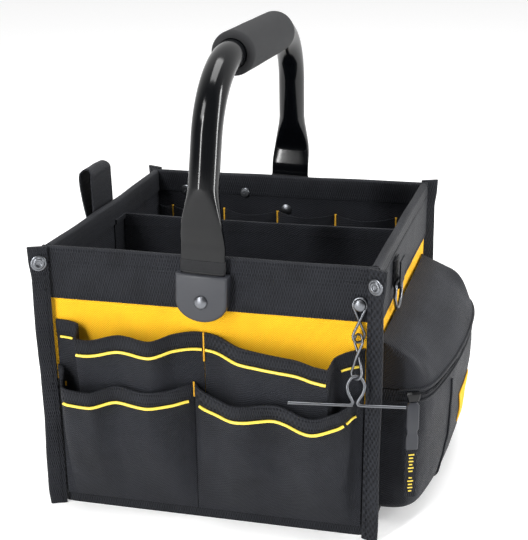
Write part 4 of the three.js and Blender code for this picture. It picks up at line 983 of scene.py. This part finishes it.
class TOTE_OT_chain(bpy.types.Operator):
    """Makes the stud, the two crossed wire links and the wire bar"""

    bl_idname = "tote.chain"
    bl_label = "Chain"

    def execute(self, context):
        rad = math.radians
        radius, seat, height = 1.15, 4.3, 211.2
        upper, upper_loop, lower, lower_loop = 25.4, 5.5, 26.3, 5.3
        x, band = settled(132.2, height), -sizes().half_depth
        stud = [(4.0, -5.4), (4.0, seat), (4.9, seat), (5.0, seat + 0.4), (4.4, seat + 1.1),
                (3.0, seat + 1.6), (0.0, seat + 1.8)]
        turned("chain_stud_nickel", stud, (x, band, height), (0, -1, 0), "nickel", ["chain_rivet"])

        def lean(p, degrees, place):
            c, d = math.cos(rad(degrees)), math.sin(rad(degrees))
            return Vector((p.x, p.y * c + p.z * d, p.z * c - p.y * d)) + place

        def down(degrees, length):
            return Vector((0, -math.sin(rad(degrees)), -math.cos(rad(degrees)))) * length

        def link(name, points, degrees, place):
            line = spline([lean(p, degrees, place) for p in points], 5, closed=True)
            wire(f"{name}_wire", line, radius, "nickel", [name], closed=True)

        wires = 2 * radius + GAP
        upper_at = Vector((x, band - seat / 2, height))
        lower_at = upper_at + down(8, upper + upper_loop) + Vector((0, 0, wires + 4 - 5.3))
        bar_at = lower_at + down(15, lower + lower_loop - wires)
        link("chain_link_upper", crossed_link(upper, upper_loop, 0, rad(42), radius), 8, upper_at)
        link("chain_link_lower", crossed_link(lower, lower_loop, rad(-42), rad(-30), radius), 15, lower_at)
        # The bar is bent up into an eye in the middle
        thick, bend, eye_wide, eye_high = 1.3, 2.6, 7, 24
        rise = 2 * thick + GAP
        half = ((eye_wide * 0.55, eye_high * 0.94), (eye_wide, eye_high * 0.7),
                (eye_wide * 0.85, eye_high * 0.42), (bend * 0.6 + thick * 0.4, rise),
                (bend + thick * 0.5, bend * 0.35), (2 * bend + thick, 0))
        flat = [(-55, 0)] + [(-px, pz) for px, pz in reversed(half)]
        flat += [(0, eye_high), *half, (42, 0)]
        turn = rad(17)
        points = [lean(Vector((px * math.cos(turn), px * math.sin(turn), pz - eye_high)), 14, bar_at)
                  for px, pz in flat]
        wire("chain_bar_wire", spline(points, 6), thick, "nickel", ["chain_bar"])
        return {"FINISHED"}


class TOTE_OT_loop(bpy.types.Operator):
    """Makes the webbing loop at the left and the ring with its tab at the right"""

    bl_idname = "tote.loop"
    bl_label = "Side loop and ring"

    def execute(self, context):
        self.loop()
        self.ring()
        return {"FINISHED"}

    def loop(self):
        """Webbing folded over into a loop that stands above the left rim"""
        s = sizes()
        inner, radius, top, low = 1.0, 5.8, 279.0, 205.0
        line = [(inner, low + 4), (inner, (low + top) / 2), (inner + 1, top - radius - 6)]
        for i in range(7):
            a = math.pi - math.pi * i / 6
            line.append((inner + 1 + radius + radius * math.cos(a), top - radius + radius * math.sin(a)))
        line += [(inner + 2 * radius, top - radius - 14), (inner + radius * 1.1, s.height - 12),
                 (inner + 1.7, low + 14), (inner + 1.7, low)]
        path = spline([(-s.half_width - out, 0, z) for out, z in line], 7)
        shares = [k / 8 for k in range(9)]
        rings = []
        for i, p in enumerate(path):
            along = (path[min(i + 1, len(path) - 1)] - path[max(i - 1, 0)]).normalized()
            normal = Vector((along.z, 0, -along.x)) * (s.webbing / 2)
            rise = min(1.0, max(0.0, (p.z - top + 9) / 9))
            half = 24.5 - 4.5 * rise ** 2
            across = [Vector((0, lerp(-half, half, share), 0.6 * ripple(share * 50, p.z, 0, 20)))
                      for share in shares]
            rings.append([p + normal + q for q in across] + [p - normal + q for q in reversed(across)])
        loft("side_loop_webbing", rings, "webbing", ["side_loop"], angle=60)

    def ring(self):
        """The wire ring on the right wall, in its fold of webbing"""
        s = sizes()
        thick, half, place = 1.6, 17.0, -56
        face = s.half_width + GAP + s.webbing + GAP + thick
        bar_height = 199 + s.webbing + thick + GAP
        x = settled(face, 190)
        points = [(x, place + half * share, bar_height) for share in (-0.8, 0, 0.8)]
        for i in range(9):
            a = math.pi * i / 8
            points.append((x, place + half * math.cos(a), bar_height - 23 * (0.35 + 0.65 * math.sin(a))))
        wire("d_ring_wire", spline(points, 6, closed=True), thick, "nickel", ["d_ring"], closed=True)
        inside = thick + GAP
        outer, up = inside + s.webbing, 224 - bar_height
        turns = [math.pi * i / 12 for i in range(13)]
        section = [(-outer, up), (-outer, up / 2)]
        section += [(outer * math.cos(math.pi + a), outer * math.sin(math.pi + a)) for a in turns]
        section += [(outer, up / 2), (outer, up), (inside, up), (inside, up / 2)]
        section += [(inside * math.cos(TAU - a), inside * math.sin(TAU - a)) for a in turns]
        section += [(-inside, up / 2), (-inside, up)]
        rings = [[Vector((face + px, place + lerp(-11, 11, k / 6), bar_height + pz)) for px, pz in section]
                 for k in range(7)]
        loft("ring_tab_webbing", rings, "webbing", ["ring_tab"], angle=60)


# Pouch: plan at the zip, as place along and reach; body and lid as shares on the way up
POUCH_PLAN = (
    (0.0, 0.0), (0.002, 0.18), (0.004, 0.4), (0.022, 0.59), (0.07, 0.73), (0.17, 0.83), (0.35, 0.94),
    (0.55, 1.0), (0.76, 1.0), (0.9, 0.92), (0.97, 0.78), (0.996, 0.5), (0.998, 0.2), (1.0, 0.0),
)
POUCH_BODY = (
    (0.0, 0.0, 0.9, 0.0), (0.17, 0.72, 0.91, 0.01), (0.33, 0.83, 0.94, 0.05), (0.5, 0.89, 0.96, 0.16),
    (0.67, 0.95, 0.98, 0.37), (0.83, 0.99, 0.99, 0.65), (1.0, 1.0, 1.0, 1.0),
)
POUCH_LID = (
    (0.0, 1.0, 1.0, 0.0, 0.0), (0.2, 0.95, 1.0, 0.35, 0.12), (0.4, 0.8, 0.995, 0.66, 0.38),
    (0.6, 0.6, 0.985, 0.76, 0.62), (0.8, 0.38, 0.975, 0.86, 0.84), (1.0, 0.035, 0.965, 1.0, 1.0),
)
POUCH_LENGTH, POUCH_PLACE, POUCH_FOOT, POUCH_TOP, ZIP_HEIGHT = 254, 4, 11.0, 172.0, 124.0


def pouch_point(u, out, long, z, proud=0.0):
    """A point of the pouch: u round its plan, with reach and length drawn in by shares"""
    s = sizes()
    last = len(POUCH_PLAN) - 1
    place = u * last
    low = min(int(place), last - 1)
    near = [Vector(POUCH_PLAN[min(max(low + k, 0), last)]) for k in (-1, 0, 1, 2)]
    at = through(*near, place - low)
    # Sewn to the board below the yellow cloth, and to that cloth above its foot
    seam = s.board_face if z < 128.3 else s.cloth_face
    reach = max(at.y, 0) * out * s.pouch_reach
    bulge = proud * smooth(reach / 12.0)
    x = s.half_width - seam + GAP + reach + bulge
    return Vector((x, POUCH_PLACE + (at.x - 0.5) * POUCH_LENGTH * long, z))


def pouch_crumple(u, z):
    """Soft folds of the pouch's lower part"""
    return 2.4 * ripple(u * 300, 5.0, z, 38.0) + 0.9 * ripple(u * 300, 9.0, z, 14.0)


class TOTE_OT_pouch(bpy.types.Operator):
    """Makes the zipped side pouch with its zip, slider, pull and patch"""

    bl_idname = "tote.pouch"
    bl_label = "Side pouch"

    def execute(self, context):
        self.bag()
        self.lid()
        self.zip()
        cloth_sheet("pouch_patch_cloth", self.patch, 20, 12, 0.8, "yellow", ["pouch_patch"])
        self.pull()
        return {"FINISHED"}

    def body_face(self, u, v):
        """The pouch below its zip, from its foot up"""
        out, long, up = (column(POUCH_BODY, v, k) for k in (1, 2, 3))
        z = lerp(POUCH_FOOT, ZIP_HEIGHT - 4.8, up)
        return pouch_point(u, out, long, z, pouch_crumple(u, z) * smooth(up * 4))

    def keep_body(self, p):
        """Off the board"""
        return Vector((max(p.x, sizes().half_width - 2.9), p.y, p.z))

    def bag(self):
        """The part below the zip"""
        cloth_sheet("pouch_body_cloth", self.body_face, 120, 48, 1.6, "cloth", ["pouch_body"],
                    limit=self.keep_body)

    def lid(self):
        """The part above the zip, up to its seam on the wall"""
        def face(u, v):
            inward = smooth((min(u, 1 - u) - 0.18) / 0.18)
            out, long, ends, middle = (column(POUCH_LID, v, k) for k in (1, 2, 3, 4))
            z = lerp(ZIP_HEIGHT + 6.0, POUCH_TOP, lerp(ends, middle, inward))
            crumple = 2.2 * ripple(u * 300, 15.0, z, 36.0) + 0.8 * ripple(u * 300, 19.0, z, 13.0)
            return pouch_point(u, out, long, z, crumple * math.sin(math.pi * v))

        def keep(p):
            return Vector((max(p.x, sizes().half_width - 1.4), p.y, p.z))

        cloth_sheet("pouch_lid_cloth", face, 120, 36, 1.6, "cloth", ["pouch_lid"],
                    limit=keep)

    def zip(self):
        """The tape, the cords along it, the welt up the pouch and the teeth"""
        def tape(u, v):
            return pouch_point(u, 1, 1, ZIP_HEIGHT + (v - 0.5) * 10.4)

        cloth_sheet("pouch_zip_tape", tape, 120, 4, 1.2, "webbing", ["pouch_zip"],
                    limit=self.keep_body)
        for k, side in enumerate((-1, 1)):
            cord = [pouch_point(lerp(0.12, 0.95, i / 120), 1, 1, ZIP_HEIGHT + side * 5.6) for i in range(121)]
            wire(f"zip_cord_{k}", cord, 1.5, "webbing", sides=8, settle=True)
        welt = [self.body_face(0.44, lerp(0.06, 0.97, i / 60)) + Vector((0.4, -0.3, 0)) for i in range(61)]
        wire("pouch_welt", welt, 1.3, "cloth", sides=8, settle=True)
        teeth = [pouch_point(lerp(0.08, 0.97, i / 110), 1, 1, ZIP_HEIGHT) for i in range(111)]
        for k, offset in enumerate((-0.7, 0.7)):
            line = [p + Vector((0.5, 0, offset)) for p in teeth]
            stitches(f"zip_teeth_{k}", line, Vector((1, 0, 0)), 2.0, 1.3, 0.8, "webbing")

    def patch(self, u, v):
        """A plain patch that follows the pouch's folds"""
        z, place = 50 + v * 28, lerp(0.51, 0.6, u)
        up = (z - POUCH_FOOT) / (ZIP_HEIGHT - 4.8 - POUCH_FOOT)
        share = next(k / 400 for k in range(401) if column(POUCH_BODY, k / 400, 3) >= up)
        out, long = column(POUCH_BODY, share, 1), column(POUCH_BODY, share, 2)
        return pouch_point(place, out, long, z, pouch_crumple(place, z)) + Vector((1.2, 0, 0))

    def pull(self):
        """The slider, its moulded pull and the ribbon with plain dashes"""
        at = pouch_point(0.2, 1, 1, ZIP_HEIGHT)
        ahead = pouch_point(0.22, 1, 1, ZIP_HEIGHT) - pouch_point(0.18, 1, 1, ZIP_HEIGHT)
        turn = Matrix.Rotation(math.atan2(ahead.y, ahead.x), 3, "Z")

        def strip(name, rows, finish, nodes):
            """Rows of height, half width, front and back of a hanging strip"""
            rings = []
            for z, half, front, back in rows:
                corners = [(-half, -back), (-half, -(front - 0.5)), (-half + 0.7, -front), (0, -front - 0.1),
                           (half - 0.7, -front), (half, -(front - 0.5)), (half, -back)]
                rings.append([at + turn @ Vector((px, py, z)) for px, py in corners])
            return loft(name, rings, finish, nodes, angle=30)
        strip("slider_nickel", [(-4.5, 3.6, 2.6, 1.2), (-3.5, 4.6, 4.4, 1.2), (0, 5.2, 5.2, 1.2),
                                (3, 6.2, 4.6, 1.2), (4.5, 5.2, 3.0, 1.2)], "enamel", ["zip_slider"])
        strip("pull_plastic", [(-4.8, 3.4, 3.4, 2.0), (-7, 5.2, 4.6, 1.2), (-28, 5.5, 4.8, 1.2),
                               (-31, 4.4, 4.4, 1.4), (-34, 4.4, 4.4, 1.4), (-36, 5.4, 4.6, 1.3),
                               (-47.5, 5.3, 4.4, 1.3), (-48.8, 4.6, 3.6, 1.8)], "plastic", ["zip_pull"])
        strip("ribbon_webbing", [(-49.1, 5.2, 3.6, 2.4), (-60, 5.4, 3.7, 2.5), (-75, 5.5, 3.4, 2.2),
                                 (-93, 5.3, 3.6, 2.4)], "webbing", ["pull_ribbon"])
        for k in (*range(6), *range(7, 12)):  # a gap in the middle of the row
            wide = (2.2, 1.6, 2.0, 1.3)[k % 4]
            line = [at + turn @ Vector((lerp(-wide, wide, i / 6), -3.85, -53 - k * 3.1)) for i in range(7)]
            stitches(f"ribbon_dash_{k}", line, turn @ Vector((0, -1, 0)), 0.7, 0.9, 0.7, "piping")


class TOTE_OT_stage(bpy.types.Operator):
    """Makes the pale floor, the soft lights and the camera"""

    bl_idname = "tote.stage"
    bl_label = "Stage"

    def execute(self, context):
        scene = context.scene
        self.floor(scene)
        self.world(scene)
        for name, place, size, tall, power in (
                ("key", (-1.1, -1.9, 1.9), 0.9, 0.9, 30), ("top", (0.1, 0.0, 2.3), 1.2, 1.2, 36),
                ("left_strip", (-0.66, -1.9, 0.7), 0.14, 1.5, 30),
                ("right_strip", (2.0, 0.16, 0.7), 0.24, 1.5, 34)):
            light = bpy.data.lights.new(name, "AREA")
            light.shape = "RECTANGLE"
            light.size = size
            light.size_y = tall
            light.energy = power
            lamp = bpy.data.objects.new(name, light)
            lamp.location = place
            aim = Vector((0, 0, 0.15)) - Vector(place)
            lamp.rotation_euler = aim.to_track_quat("-Z", "Y").to_euler()
            scene.collection.objects.link(lamp)
        self.camera(scene)
        scene.view_settings.view_transform = "Standard"
        return {"FINISHED"}

    def floor(self, scene):
        """Matt white paper: pale, with hardly any shine, and a little light of its own"""
        mesh = bpy.data.meshes.new("pale_floor")
        reach = 6.0
        corners = [(-reach, -reach, 0), (reach, -reach, 0), (reach, reach, 0), (-reach, reach, 0)]
        mesh.from_pydata(corners, [], [(0, 1, 2, 3)])
        floor = bpy.data.objects.new("pale_floor", mesh)
        scene.collection.objects.link(floor)
        material = bpy.data.materials.new("matt_white_paper")
        material.use_nodes = True
        tree = material.node_tree
        fine = node(tree, "ShaderNodeTexNoise", [("Scale", 4.0)])
        tint = node(tree, "ShaderNodeMix", [(0, fine), (6, (0.86, 0.86, 0.86, 1)), (7, (0.9, 0.9, 0.9, 1))],
                    data_type="RGBA")
        plug(tree, tree.nodes["Principled BSDF"], [("Base Color", tint.outputs[2]), ("Roughness", 0.9),
                                                   ("Emission Color", (1, 1, 1, 1)),
                                                   ("Emission Strength", 0.3)])
        mesh.materials.append(material)

    def world(self, scene):
        """Bright behind the bag, darker behind the camera, so that gloss keeps its black"""
        world = bpy.data.worlds.new("studio")
        world.use_nodes = True
        tree = world.node_tree
        way = node(tree, "ShaderNodeTexCoord").outputs["Generated"]
        axes = node(tree, "ShaderNodeSeparateXYZ", [(0, way)])
        fade = node(tree, "ShaderNodeMapRange",
                    [(0, axes.outputs[1]), (1, -0.35), (2, 0.3), (3, 0.22), (4, 1.0)])
        plug(tree, tree.nodes["Background"], [("Color", (1, 1, 1, 1)), ("Strength", fade)])
        scene.world = world

    def camera(self, scene):
        """The photograph's viewing angle; the focal length was fitted in pixels of its height"""
        yaw, pitch, roll = (math.radians(a) for a in (15.06, 18.09, -0.76))
        level = math.cos(pitch)
        forward = Vector((-math.sin(yaw) * level, math.cos(yaw) * level, -math.sin(pitch)))
        right = Vector((math.cos(yaw), math.sin(yaw), 0))
        up = right.cross(forward)
        right_rolled = right * math.cos(roll) + up * math.sin(roll)
        up_rolled = up * math.cos(roll) - right * math.sin(roll)
        data = bpy.data.cameras.new("camera")
        data.sensor_width = 36
        data.lens = 1266.34 * data.sensor_width / 540
        camera = bpy.data.objects.new("camera", data)
        turn = Matrix((right_rolled, up_rolled, -forward)).transposed().to_4x4()
        camera.matrix_world = Matrix.Translation((0.30747, -1.09658, 0.55649)) @ turn
        scene.collection.objects.link(camera)
        scene.camera = camera


class TOTE_PT_panel(bpy.types.Panel):
    """Buttons for each group of pieces"""

    bl_idname = "TOTE_PT_panel"
    bl_label = "Open Top Tool Tote"
    bl_space_type = "VIEW_3D"
    bl_region_type = "UI"
    bl_category = "Tote"

    def draw(self, context):
        for cls in OPERATORS:
            self.layout.operator(cls.bl_idname)
        for group in (context.scene.tote_sizes, context.scene.tote_colours):
            for key in group.__annotations__:
                self.layout.prop(group, key)


OPERATORS = (
    TOTE_OT_body, TOTE_OT_corners, TOTE_OT_pockets, TOTE_OT_inside, TOTE_OT_handle, TOTE_OT_back_rivets,
    TOTE_OT_chain, TOTE_OT_loop, TOTE_OT_pouch, TOTE_OT_stage,
)
CLASSES = (ToteSizes, ToteColours, *OPERATORS, TOTE_PT_panel)


def register():
    for cls in CLASSES:
        bpy.utils.register_class(cls)
    bpy.types.Scene.tote_sizes = bpy.props.PointerProperty(type=ToteSizes)
    bpy.types.Scene.tote_colours = bpy.props.PointerProperty(type=ToteColours)


def unregister():
    del bpy.types.Scene.tote_colours
    del bpy.types.Scene.tote_sizes
    for cls in reversed(CLASSES):
        bpy.utils.unregister_class(cls)


def main():
    register()
    for cls in OPERATORS:
        group, name = cls.bl_idname.split(".")
        getattr(getattr(bpy.ops, group), name)()


if __name__ == "__main__":
    main()
